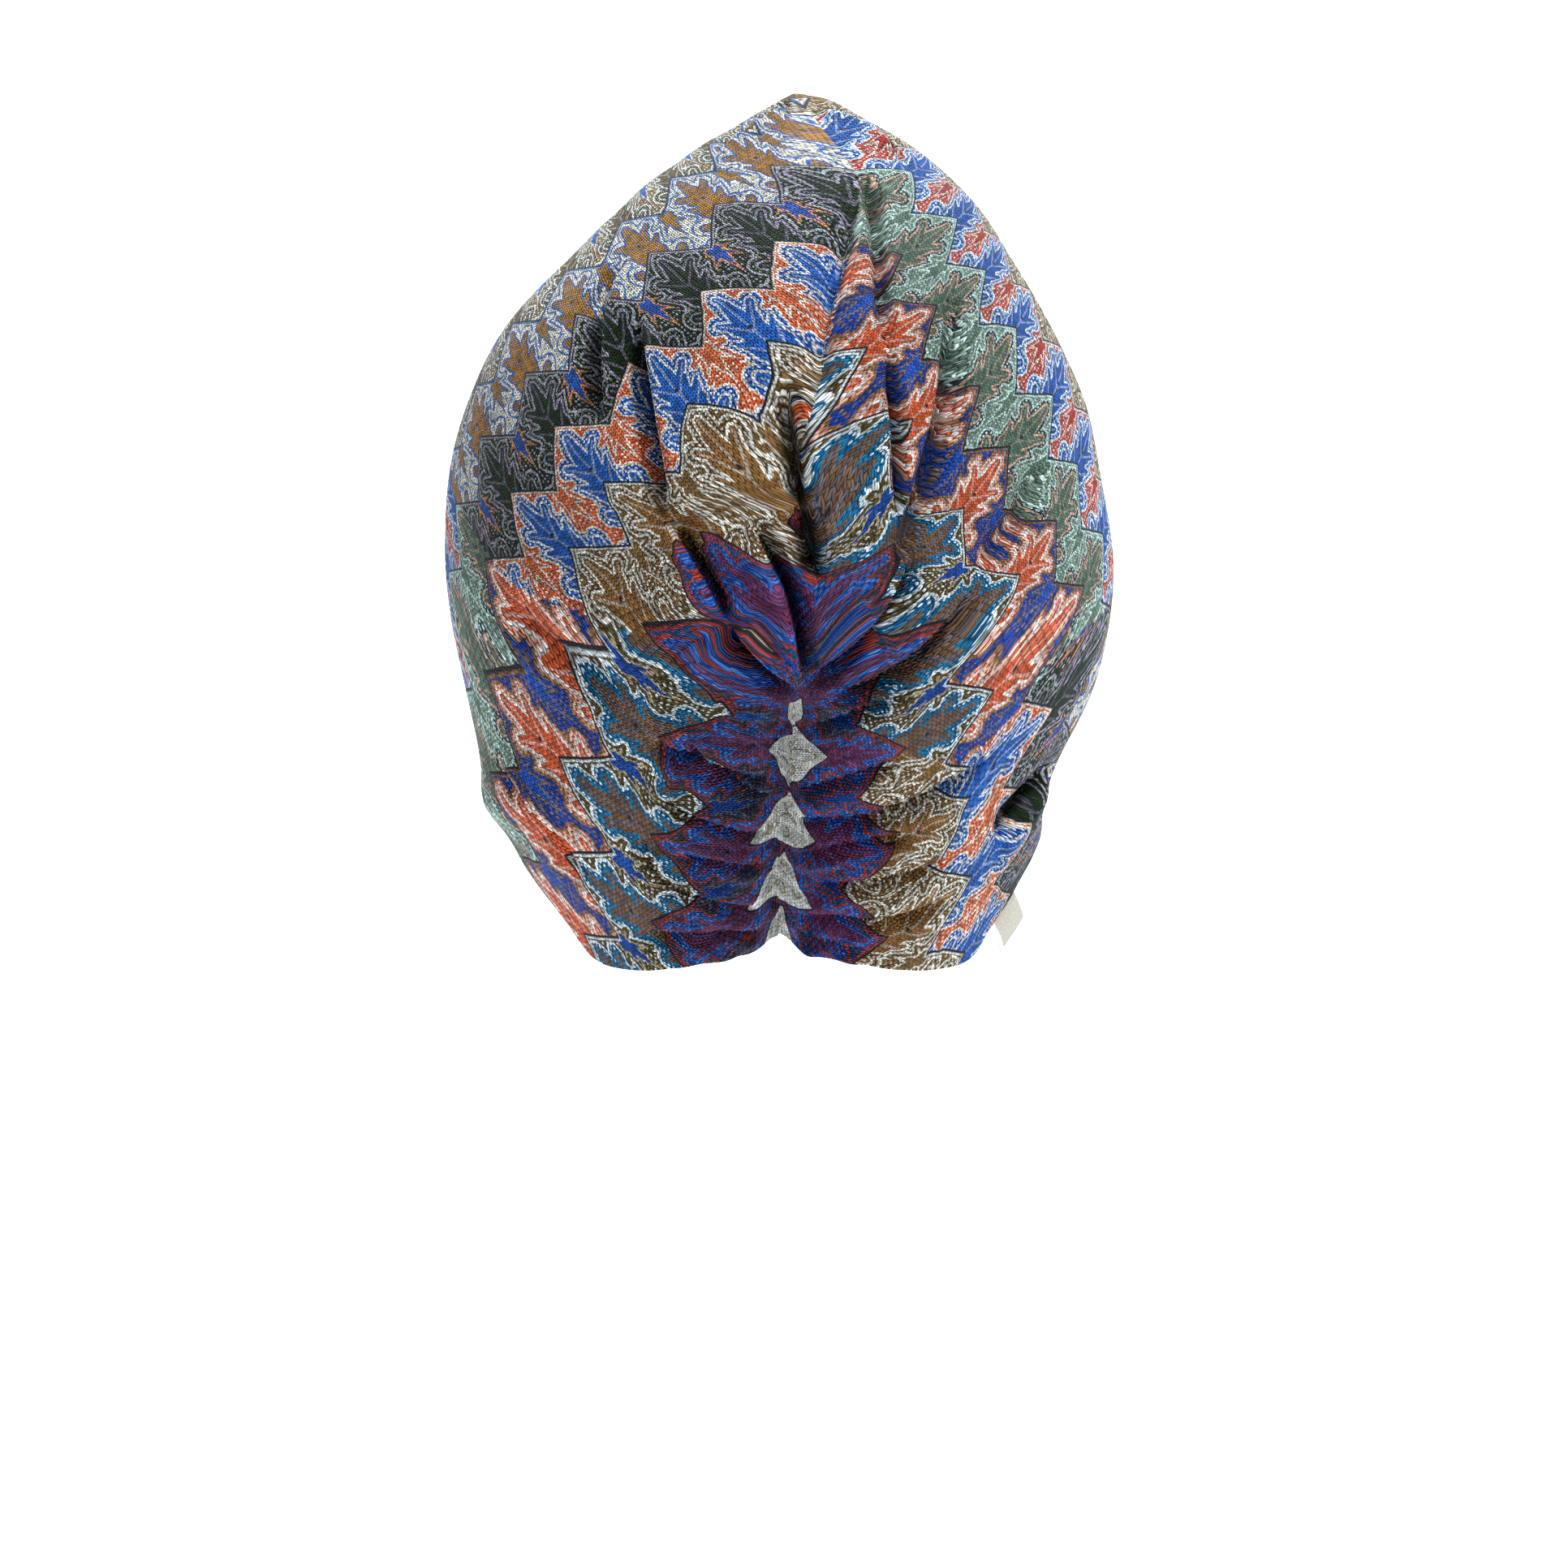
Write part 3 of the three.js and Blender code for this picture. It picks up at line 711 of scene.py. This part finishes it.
class Wires:
    """Adds nodes to a tree and joins them."""

    def __init__(self, tree):
        self.tree = tree
        self.count = 0

    def node(self, kind, **settings):
        node = self.tree.nodes.new(kind)
        node.location = (180 * (self.count // 6), -160 * (self.count % 6))
        self.count += 1
        for name, value in settings.items():
            setattr(node, name, value)
        return node

    def feed(self, socket, value):
        if isinstance(value, bpy.types.NodeSocket):
            self.tree.links.new(value, socket)
        else:
            socket.default_value = value

    def math(self, operation, *values):
        node = self.node("ShaderNodeMath", operation=operation)
        for socket, value in zip(node.inputs, values):
            self.feed(socket, value)
        return node.outputs[0]

    def chain(self, operation, *values):
        """One math operation over any number of values."""
        total = values[0]
        for value in values[1:]:
            total = self.math(operation, total, value)
        return total

    def ramp(self, value, low, high, start=0.0, end=1.0):
        """Value from low to high as start to end, smoothly and held past both."""
        node = self.node("ShaderNodeMapRange", interpolation_type="SMOOTHSTEP")
        for socket, item in zip(node.inputs, (value, low, high, start, end)):
            self.feed(socket, item)
        return node.outputs[0]

    def band(self, value, low, high, edge):
        """1 between low and high."""
        rising = self.ramp(value, low - edge, low + edge)
        falling = self.ramp(value, high - edge, high + edge, 1.0, 0.0)
        return self.math("MULTIPLY", rising, falling)

    def blend(self, amount, under, over, mode="MIX"):
        node = self.node("ShaderNodeMix", data_type="RGBA", blend_type=mode)
        self.feed(node.inputs[0], amount)
        self.feed(node.inputs[6], under)
        self.feed(node.inputs[7], over)
        return node.outputs[2]

    def group(self, tree, **values):
        node = self.node("ShaderNodeGroup", node_tree=tree)
        for name, value in values.items():
            self.feed(node.inputs[name], value)
        return node.outputs


def new_group(name, inputs, outputs):
    """An empty shader group, its wires and its input sockets by name."""
    tree = bpy.data.node_groups.new(name, "ShaderNodeTree")
    for label, kind, value in inputs:
        socket = tree.interface.new_socket(label, in_out="INPUT", socket_type=kind)
        socket.default_value = value
    for label, kind in outputs:
        tree.interface.new_socket(label, in_out="OUTPUT", socket_type=kind)
    wires = Wires(tree)
    return tree, wires, wires.node("NodeGroupInput").outputs


def finish_group(wires, **results):
    end = wires.node("NodeGroupOutput")
    for name, value in results.items():
        wires.feed(end.inputs[name], value)


def linear_colour(text):
    """A colour written as #rrggbb, as Blender's own linear values."""
    shares = [int(text[i:i + 2], 16) / 255 for i in (1, 3, 5)]
    return [s / 12.92 if s < 0.04045 else ((s + 0.055) / 1.055) ** 2.4 for s in shares] + [1.0]


def tongue_group():
    """Distance to a tapering tongue that starts at a root and leans off the leaf's midrib."""
    number = "NodeSocketFloat"
    tree, w, given = new_group(
        "tapering_tongue",
        [("Across", number, 0.0), ("Along", number, 0.0), ("Root across", number, 0.0),
         ("Root along", number, 0.0), ("Lean", number, 0.0), ("Length", number, 9.0),
         ("Radius", number, 3.0)],
        [("Distance", number), ("Vein", number)],
    )
    across = w.math("SUBTRACT", given["Across"], given["Root across"])
    along = w.math("SUBTRACT", given["Along"], given["Root along"])
    sine, cosine = w.math("SINE", given["Lean"]), w.math("COSINE", given["Lean"])
    forward = w.math("ADD", w.math("MULTIPLY", across, sine), w.math("MULTIPLY", along, cosine))
    side = w.math(
        "SUBTRACT", w.math("MULTIPLY", across, cosine), w.math("MULTIPLY", along, sine)
    )
    inside = w.math("MINIMUM", w.math("MAXIMUM", forward, 0.0), given["Length"])
    beyond = w.math("MULTIPLY", w.math("SUBTRACT", forward, inside), 0.85)
    off_line = w.math(
        "SQRT", w.math("ADD", w.math("POWER", side, 2.0), w.math("POWER", beyond, 2.0))
    )
    width = w.math("SUBTRACT", given["Radius"], w.math("MULTIPLY", inside, 0.2))
    finish_group(w, Distance=w.math("SUBTRACT", off_line, width), Vein=off_line)
    return tree


# One half of a leaf, mirrored at its midrib, in millimetres from the eyelet at its heart.
LEAF_TONGUES = (
    # across, along, lean in degrees, straight length, radius
    (0.0, -7.0, 0.0, 19.5, 5.0),
    (0.5, -1.5, 38.0, 9.0, 2.9),
    (1.0, -8.5, 42.0, 9.5, 3.2),
    (2.0, -18.5, 42.0, 9.5, 3.2),
    (5.0, -26.0, 42.0, 8.0, 3.0),
)
# The smaller leaf that hangs point down between two leaves.
DROP_TONGUES = (
    (13.5, 3.5, 180.0, 14.0, 3.6),
    (13.5, 2.5, 214.0, 9.5, 2.7),
    (13.5, 4.0, 250.0, 5.5, 2.0),
)


def leaf_shape_group(tongue):
    """Distances in millimetres to a leaf, to its veins and to the drop beside it."""
    number = "NodeSocketFloat"
    tree, w, given = new_group(
        "leaf_shapes",
        [("Across", number, 0.0), ("Along", number, 0.0)],
        [("Leaf", number), ("Veins", number), ("Drop", number)],
    )

    def placed(across, along, lean, length, radius):
        return w.group(tongue, **{
            "Across": given["Across"], "Along": given["Along"], "Root across": across,
            "Root along": along, "Lean": math.radians(lean), "Length": length, "Radius": radius,
        })

    leaf = [placed(*tongue_row) for tongue_row in LEAF_TONGUES]
    drop = [placed(*tongue_row) for tongue_row in DROP_TONGUES]
    finish_group(
        w, Leaf=w.chain("MINIMUM", *[item[0] for item in leaf]),
        Veins=w.chain("MINIMUM", *[item[1] for item in leaf]),
        Drop=w.chain("MINIMUM", *[item[0] for item in drop]),
    )
    return tree


def yarn_group():
    """The yarn colours of one row of leaves in either family. White is only at the back seam."""
    tree, w, given = new_group(
        "yarns_of_a_row",
        [("Row", "NodeSocketFloat", 0.0), ("Upper left", "NodeSocketFloat", 0.0)],
        [(part, "NodeSocketColor") for part in YARN_PARTS],
    )
    rows = len(UPPER_LEFT_ROWS)
    repeat = w.math("MODULO", w.math("ADD", given["Row"], 8.0 * (rows - 1) - 1), rows - 1.0)
    beyond_seam = w.math("GREATER_THAN", given["Row"], 0.5)
    row = w.math("MULTIPLY", beyond_seam, w.math("ADD", repeat, 1.0))
    place = w.math("DIVIDE", w.math("ADD", row, 0.5), float(rows))
    results = {}
    for i, part in enumerate(YARN_PARTS):
        ramps = []
        for table in (OTHER_ROWS, UPPER_LEFT_ROWS):
            node = w.node("ShaderNodeValToRGB")
            node.color_ramp.interpolation = "CONSTANT"
            stops = node.color_ramp.elements
            stops[0].color = linear_colour(table[0][i])
            stops[1].position = 1 / rows
            stops[1].color = linear_colour(table[1][i])
            for k in range(2, rows):
                stops.new(k / rows).color = linear_colour(table[k][i])
            w.feed(node.inputs[0], place)
            ramps.append(node.outputs[0])
        results[part] = w.blend(given["Upper left"], ramps[0], ramps[1])
    finish_group(w, **results)
    return tree


def stitch_group():
    """Knit stitches on a grid in millimetres: their height, and a shade for each stitch."""
    number = "NodeSocketFloat"
    tree, w, given = new_group(
        "knit_stitches",
        [("Across", number, 0.0), ("Along", number, 0.0), ("Width", number, 1.0),
         ("Height", number, 0.8)],
        [("Height", number), ("Shade", number)],
    )
    column = w.math("DIVIDE", given["Across"], given["Width"])
    inside = w.math("SUBTRACT", w.math("FRACT", column), 0.5)
    slope = w.math("MULTIPLY", w.math("ABSOLUTE", inside), 1.1)
    course = w.math("SUBTRACT", w.math("DIVIDE", given["Along"], given["Height"]), slope)
    arch = w.math("SINE", w.math("MULTIPLY", w.math("FRACT", course), math.pi))
    leg = w.math("SINE", w.math("MULTIPLY", w.math("ABSOLUTE", inside), 2 * math.pi))
    cell = w.node("ShaderNodeCombineXYZ")
    w.feed(cell.inputs[0], w.math("FLOOR", column))
    w.feed(cell.inputs[1], w.math("FLOOR", course))
    noise = w.node("ShaderNodeTexWhiteNoise", noise_dimensions="2D")
    w.feed(noise.inputs["Vector"], cell.outputs[0])
    finish_group(
        w, Height=w.math("MULTIPLY", w.math("ADD", leg, 0.25), arch),
        Shade=noise.outputs["Value"],
    )
    return tree


def empty_material(name):
    """A new material with no nodes yet, and its wires."""
    material = bpy.data.materials.new(name)
    material.use_nodes = True
    material.node_tree.nodes.clear()
    return material, Wires(material.node_tree)


def finish_cloth(w, colour, raised, strength, distance, roughness, gloss):
    """Ends a material as matte cloth, with its stitches or weave raised by a bump."""
    bump = w.node("ShaderNodeBump")
    w.feed(bump.inputs["Strength"], strength)
    w.feed(bump.inputs["Distance"], distance)
    w.feed(bump.inputs["Height"], raised)
    shader = w.node("ShaderNodeBsdfPrincipled")
    w.feed(shader.inputs["Base Color"], colour)
    w.feed(shader.inputs["Normal"], bump.outputs[0])
    w.feed(shader.inputs["Roughness"], roughness)
    w.feed(shader.inputs["Specular IOR Level"], gloss)
    w.feed(w.node("ShaderNodeOutputMaterial").inputs[0], shader.outputs[0])


def knit_material():
    """Leaf lace knit: rows of serrated leaves in bands of yarn, with stitches and eyelets."""
    material, w = empty_material("leaf_lace_knit")
    uv = w.node("ShaderNodeUVMap", uv_map="knit")
    split = w.node("ShaderNodeSeparateXYZ")
    w.feed(split.inputs[0], uv.outputs[0])
    panel = w.node("ShaderNodeAttribute", attribute_name="panel", attribute_type="GEOMETRY")
    noise = w.node("ShaderNodeTexNoise", noise_dimensions="2D")
    w.feed(noise.inputs["Vector"], uv.outputs[0])
    w.feed(noise.inputs["Scale"], 4.0)
    w.feed(noise.inputs["Detail"], 1.0)
    wobble = w.math("SUBTRACT", noise.outputs[0], 0.5)
    u = w.math("ADD", split.outputs[0], w.math("MULTIPLY", wobble, 0.02))
    v = w.math("ADD", split.outputs[1], w.math("MULTIPLY", wobble, 0.02))

    side = w.math("ABSOLUTE", w.math("SUBTRACT", w.math("FRACT", u), 0.5))
    across = w.math("MULTIPLY", side, LEAF_WIDE)
    heart = w.math("ADD", v, 0.15)
    rise = w.math("ADD", heart, w.math("MULTIPLY", w.math("ADD", across, 5.0), 1 / LEAF_TALL))
    row = w.math("FLOOR", rise)
    along = w.math("MULTIPLY", w.math("SUBTRACT", heart, row), LEAF_TALL)
    leaf, veins, drop = w.group(leaf_shape_group(tongue_group()), Across=across, Along=along)
    shown = w.ramp(panel.outputs["Fac"], 0.4, 0.6)
    yarns = w.group(yarn_group(), **{"Row": row, "Upper left": shown})

    stitch_u = w.math("MULTIPLY", split.outputs[0], LEAF_WIDE)
    stitch_v = w.math("MULTIPLY", split.outputs[1], LEAF_TALL)
    height, shade = w.group(
        stitch_group(), Across=stitch_u, Along=stitch_v, Width=1.5, Height=1.1
    )
    place = w.node("ShaderNodeCombineXYZ")
    w.feed(place.inputs[0], stitch_u)
    w.feed(place.inputs[1], stitch_v)
    spots = w.node("ShaderNodeTexVoronoi", voronoi_dimensions="2D")
    w.feed(spots.inputs["Vector"], place.outputs[0])
    w.feed(spots.inputs["Scale"], 1 / 1.35)
    w.feed(spots.inputs["Randomness"], 0.12)
    dot = w.ramp(spots.outputs["Distance"], 0.34, 0.24)

    ragged = w.math("MULTIPLY", w.math("SUBTRACT", shade, 0.5), 0.35)
    edge = w.math("MULTIPLY", w.math("SUBTRACT", 1.0, w.math("FRACT", rise)), 17.0)
    hanging = w.math("ADD", drop, ragged)
    inner = w.chain("MAXIMUM", leaf, w.math("SUBTRACT", 1.9, drop), w.math("SUBTRACT", 3.6, edge))
    inner = w.math("ADD", inner, ragged)
    outside = w.math("MINIMUM", w.math("SUBTRACT", 2.5, leaf), w.math("SUBTRACT", edge, 1.5))
    outside = w.math("ADD", w.math("MINIMUM", outside, drop), ragged)

    dots = w.math("MULTIPLY", w.band(inner, 0.9, 1.9, 0.2), dot)
    colour = w.blend(dots, yarns["main"], yarns["dot"])
    colour = w.blend(w.ramp(inner, 0.7, 0.5), colour, yarns["line"])
    colour = w.blend(w.ramp(inner, 0.0, -0.2), colour, yarns["core"])
    rib = w.math("MULTIPLY", w.ramp(veins, 0.45, 0.25), w.ramp(inner, -0.3, -0.6))
    colour = w.blend(w.math("MULTIPLY", rib, 0.35), colour, yarns["line"])
    colour = w.blend(w.ramp(outside, 0.75, 0.55), colour, yarns["outline"])
    colour = w.blend(w.ramp(outside, 0.05, -0.15), colour, yarns["outer"])
    dots = w.math("MULTIPLY", w.band(outside, -2.0, -0.7, 0.2), dot)
    colour = w.blend(dots, colour, yarns["outline"])
    colour = w.blend(w.ramp(hanging, -1.1, -1.3), colour, yarns["drop"])
    colour = w.blend(w.band(hanging, -1.5, -1.0, 0.15), colour, yarns["vein"])
    colour = w.blend(w.band(edge, 0.5, 1.1, 0.15), colour, yarns["outline"])

    # Painted shade: the colour darkens to a fifth in the low gaps between stitches, and each stitch
    # also gets its own random tone.
    stitch_gap_shade = w.ramp(height, 0.0, 0.6, 0.2, 1.0)
    shade_and_tone = w.math("MULTIPLY", stitch_gap_shade, w.ramp(shade, 0.0, 1.0, 0.7, 1.35))
    # Painted shade: the colour darkens to 30 % in deep creases and where the twist's strands cross.
    folded = w.node("ShaderNodeAttribute", attribute_name="crease_shade", attribute_type="GEOMETRY")
    shade_and_tone = w.math("MULTIPLY", shade_and_tone, w.ramp(folded.outputs["Fac"], 0.0, 1.0, 1.0, 0.3))
    colour = w.blend(1.0, colour, shade_and_tone, "MULTIPLY")
    # The eyelets at each leaf's heart and along each row's edge are real holes, and their bump is
    # real; their near-black colour is painted shade of the inside seen through them.
    eyelet = w.math("SQRT", w.math("ADD", w.math("POWER", across, 2.0), w.math("POWER", along, 2.0)))
    eyelet_hole_and_shade = w.ramp(w.math("MINIMUM", eyelet, edge), 0.9, 0.3)
    colour = w.blend(eyelet_hole_and_shade, colour, (0.02, 0.02, 0.025, 1.0))

    raised = w.math("SUBTRACT", height, eyelet_hole_and_shade)
    finish_cloth(w, colour, raised, strength=0.9, distance=0.0008, roughness=0.72, gloss=0.08)
    return material


def tape_material(colours):
    """Plain woven tape with a pale selvedge."""
    material, w = empty_material("woven_tape")
    uv = w.node("ShaderNodeUVMap", uv_map="tape")
    split = w.node("ShaderNodeSeparateXYZ")
    w.feed(split.inputs[0], uv.outputs[0])
    warp = w.math("SINE", w.math("MULTIPLY", split.outputs[0], 2 * math.pi / 0.32))
    weft = w.math("SINE", w.math("MULTIPLY", split.outputs[1], 2 * math.pi / 0.36))
    weave = w.math("MULTIPLY", warp, weft)
    noise = w.node("ShaderNodeTexNoise", noise_dimensions="2D")
    w.feed(noise.inputs["Vector"], uv.outputs[0])
    w.feed(noise.inputs["Scale"], 1.4)
    base = (*colours.label, 1.0)
    worn = tuple(0.8 * c for c in colours.label) + (1.0,)
    colour = w.blend(w.ramp(noise.outputs[0], 0.35, 0.7), base, worn)
    colour = w.blend(w.ramp(split.outputs[0], -5.6, -6.2), colour, (0.88, 0.86, 0.82, 1.0))
    # Painted shade: the tape darkens towards brown where the weave's bump is lowest, between the
    # threads.
    colour = w.blend(w.ramp(weave, -0.9, 0.2, 0.25, 0.0), colour, (0.3, 0.26, 0.2, 1.0))
    finish_cloth(w, colour, weave, strength=0.4, distance=0.0001, roughness=0.8, gloss=0.5)
    return material


def plain_material(name, colour, roughness):
    material = bpy.data.materials.new(name)
    material.use_nodes = True
    shader = material.node_tree.nodes["Principled BSDF"]
    shader.inputs["Base Color"].default_value = (*colour, 1.0)
    shader.inputs["Roughness"].default_value = roughness
    return material


def stitch_tree(material):
    """Geometry nodes: one short stitch of thread at each step along a curve."""
    tree = bpy.data.node_groups.new("stitches_along_a_seam", "GeometryNodeTree")
    face = tree.interface
    face.new_socket("Geometry", in_out="INPUT", socket_type="NodeSocketGeometry")
    for label, value in (("Step", 0.0018), ("Length", 0.0012), ("Thread", 0.00028)):
        socket = face.new_socket(label, in_out="INPUT", socket_type="NodeSocketFloat")
        socket.default_value = value
        socket.subtype = "DISTANCE"
    face.new_socket("Geometry", in_out="OUTPUT", socket_type="NodeSocketGeometry")
    w = Wires(tree)
    given = w.node("NodeGroupInput").outputs
    path = w.node("GeometryNodeMeshToCurve")
    w.feed(path.inputs["Mesh"], given["Geometry"])
    steps = w.node("GeometryNodeResampleCurve", mode="LENGTH")
    w.feed(steps.inputs["Curve"], path.outputs[0])
    w.feed(steps.inputs["Length"], given["Step"])
    stitch = w.node("GeometryNodeMeshUVSphere")
    w.feed(stitch.inputs["Segments"], 8)
    w.feed(stitch.inputs["Rings"], 6)
    w.feed(stitch.inputs["Radius"], 1.0)
    size = w.node("ShaderNodeCombineXYZ")
    w.feed(size.inputs[0], given["Thread"])
    w.feed(size.inputs[1], given["Thread"])
    w.feed(size.inputs[2], w.math("MULTIPLY", given["Length"], 0.5))
    tangent = w.node("GeometryNodeInputTangent")
    turn = w.node("FunctionNodeAlignRotationToVector", axis="Z")
    w.feed(turn.inputs["Vector"], tangent.outputs[0])
    place = w.node("GeometryNodeInstanceOnPoints")
    w.feed(place.inputs["Points"], steps.outputs[0])
    w.feed(place.inputs["Instance"], stitch.outputs[0])
    w.feed(place.inputs["Rotation"], turn.outputs[0])
    w.feed(place.inputs["Scale"], size.outputs[0])
    real = w.node("GeometryNodeRealizeInstances")
    w.feed(real.inputs[0], place.outputs[0])
    finish = w.node("GeometryNodeSetMaterial")
    w.feed(finish.inputs["Geometry"], real.outputs[0])
    finish.inputs["Material"].default_value = material
    w.feed(w.node("NodeGroupOutput").inputs[0], finish.outputs[0])
    return tree


def run_tree(name, mesh, tree, **values):
    """The mesh that a geometry nodes tree makes of a path."""
    carrier = new_object(name + "_path", mesh)
    modifier = carrier.modifiers.new("nodes", "NODES")
    modifier.node_group = tree
    for item in tree.interface.items_tree:
        if item.in_out == "INPUT" and item.name in values:
            modifier[item.identifier] = values[item.name]
    bpy.context.view_layer.update()
    shape = carrier.evaluated_get(bpy.context.evaluated_depsgraph_get())
    result = bpy.data.meshes.new_from_object(shape)
    result.name = name
    carrier.modifiers.remove(modifier)
    bpy.data.objects.remove(carrier)
    return result


def path_mesh(name, points):
    mesh = bpy.data.meshes.new(name)
    mesh.from_pydata([tuple(p) for p in points], [(i, i + 1) for i in range(len(points) - 1)], [])
    return mesh


def fetch_material(name, make, *given):
    return bpy.data.materials.get(name) or make(*given)


def dress(mesh, material, node):
    """A finished mesh as a piece that stands for a node of the frame."""
    if len(mesh.polygons) == 0:
        raise RuntimeError(f"{mesh.name} came out empty")
    if not mesh.materials:
        mesh.materials.append(material)
    piece = new_object(mesh.name, mesh)
    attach(piece, "root")
    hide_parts(node)
    return piece


class TURBAN_OT_crown(bpy.types.Operator):
    """Makes the crown's gathered cloth."""

    bl_idname = "turban.crown"
    bl_label = "Crown"

    def execute(self, context):
        sizes = context.scene.turban_sizes
        material = fetch_material("leaf_lace_knit", knit_material)
        piece = dress(crown_mesh(sizes), material, "crown")
        return {"FINISHED"}


class TURBAN_OT_twist(bpy.types.Operator):
    """Makes the two strands that cross at the front."""

    bl_idname = "turban.twist"
    bl_label = "Front twist"

    def execute(self, context):
        sizes = context.scene.turban_sizes
        material = fetch_material("leaf_lace_knit", knit_material)
        piece = dress(twist_mesh(sizes), material, "front_twist")
        return {"FINISHED"}


class TURBAN_OT_label(bpy.types.Operator):
    """Makes the bare tape label at the hem and sews it in."""

    bl_idname = "turban.label"
    bl_label = "Label"

    def execute(self, context):
        sizes, colours = context.scene.turban_sizes, context.scene.turban_colours
        material = tape_material(colours)
        piece = dress(label_mesh(sizes), material, "label")
        middle, outer = label_surface(sizes, np.linspace(-0.42, 0.42, 9), np.full(9, 0.84))
        thread = plain_material("label_thread", colours.thread, 0.7)
        line = path_mesh("label_stitch_line", middle + outer)
        values = {"Step": 0.0016, "Length": 0.0012, "Thread": 0.00016}
        dress(run_tree("label_stitches", line, stitch_tree(thread), **values), thread, "label")
        return {"FINISHED"}


class TURBAN_OT_stage(bpy.types.Operator):
    """Sets up the pale studio, its lights and the camera."""

    bl_idname = "turban.stage"
    bl_label = "Studio"

    def execute(self, context):
        profile = [(-6.0, 0.0), (4.0, 0.0)]
        bend = np.linspace(0, math.pi / 2, 13)
        profile += [(4.0 + math.sin(a), 1.0 - math.cos(a)) for a in bend[1:]]
        profile.append((5.0, 6.0))
        points = [(x, y, z - 0.35) for y, z in profile for x in (-6.0, 6.0)]
        faces = [(2 * i, 2 * i + 1, 2 * i + 3, 2 * i + 2) for i in range(len(profile) - 1)]
        mesh = bpy.data.meshes.new("studio_sweep")
        mesh.from_pydata(points, [], faces)
        mesh.polygons.foreach_set("use_smooth", np.ones(len(faces), dtype=bool))
        colours = context.scene.turban_colours
        mesh.materials.append(plain_material("studio_paper", colours.floor, 0.9))
        new_object("studio_sweep", mesh)

        world = bpy.data.worlds.new("pale_studio")
        world.use_nodes = True
        world.node_tree.nodes["Background"].inputs[0].default_value = (0.85, 0.93, 1.0, 1.0)
        world.node_tree.nodes["Background"].inputs[1].default_value = 0.16
        context.scene.world = world
        context.scene.view_settings.view_transform = "Standard"
        add_light("key", (1.4, -1.4, 3.1), 0.8, 158.0)
        add_light("fill", (0.6, -3.0, 1.2), 1.6, 3.0)
        add_light("backdrop", (0.0, 2.6, 3.6), 3.5, 620.0, aim=(0.0, 4.4, 0.0))

        camera = bpy.data.cameras.new("camera")
        camera.sensor_width = 36.0
        camera.lens = 183.4
        camera.clip_end = 50.0
        eye = new_object("camera", camera)
        eye.location = (SEEN_CENTRE[0], -CAMERA_AWAY, SEEN_CENTRE[1])
        eye.rotation_euler = (math.pi / 2, 0.0, 0.0)
        context.scene.camera = eye
        return {"FINISHED"}


def add_light(name, place, size, power, aim=(0.0, 0.0, 0.12)):
    light = bpy.data.lights.new(name, "AREA")
    light.shape = "SQUARE"
    light.size = size
    light.energy = power
    light.color = (0.87, 0.96, 1.0)
    lamp = new_object(name, light)
    lamp.location = place
    lamp.rotation_euler = (Vector(aim) - Vector(place)).to_track_quat("-Z", "Y").to_euler()


STEPS = (TURBAN_OT_stage, TURBAN_OT_crown, TURBAN_OT_twist, TURBAN_OT_label)


class TURBAN_PT_panel(bpy.types.Panel):
    """The hat's settings and a button for each piece."""

    bl_idname = "TURBAN_PT_panel"
    bl_label = "Twisted turban hat"
    bl_space_type = "VIEW_3D"
    bl_region_type = "UI"
    bl_category = "Turban"

    def draw(self, context):
        for group in (context.scene.turban_sizes, context.scene.turban_colours):
            box = self.layout.box()
            for name in group.__annotations__:
                box.prop(group, name)
        for step in STEPS:
            self.layout.operator(step.bl_idname)


CLASSES = (HatSizes, HatColours, *STEPS, TURBAN_PT_panel)


def register():
    for item in CLASSES:
        bpy.utils.register_class(item)
    bpy.types.Scene.turban_sizes = bpy.props.PointerProperty(type=HatSizes)
    bpy.types.Scene.turban_colours = bpy.props.PointerProperty(type=HatColours)


def unregister():
    del bpy.types.Scene.turban_colours
    del bpy.types.Scene.turban_sizes
    for item in reversed(CLASSES):
        bpy.utils.unregister_class(item)


def main():
    register()
    for step in STEPS:
        group, name = step.bl_idname.split(".")
        getattr(getattr(bpy.ops, group), name)()


if __name__ == "__main__":
    main()
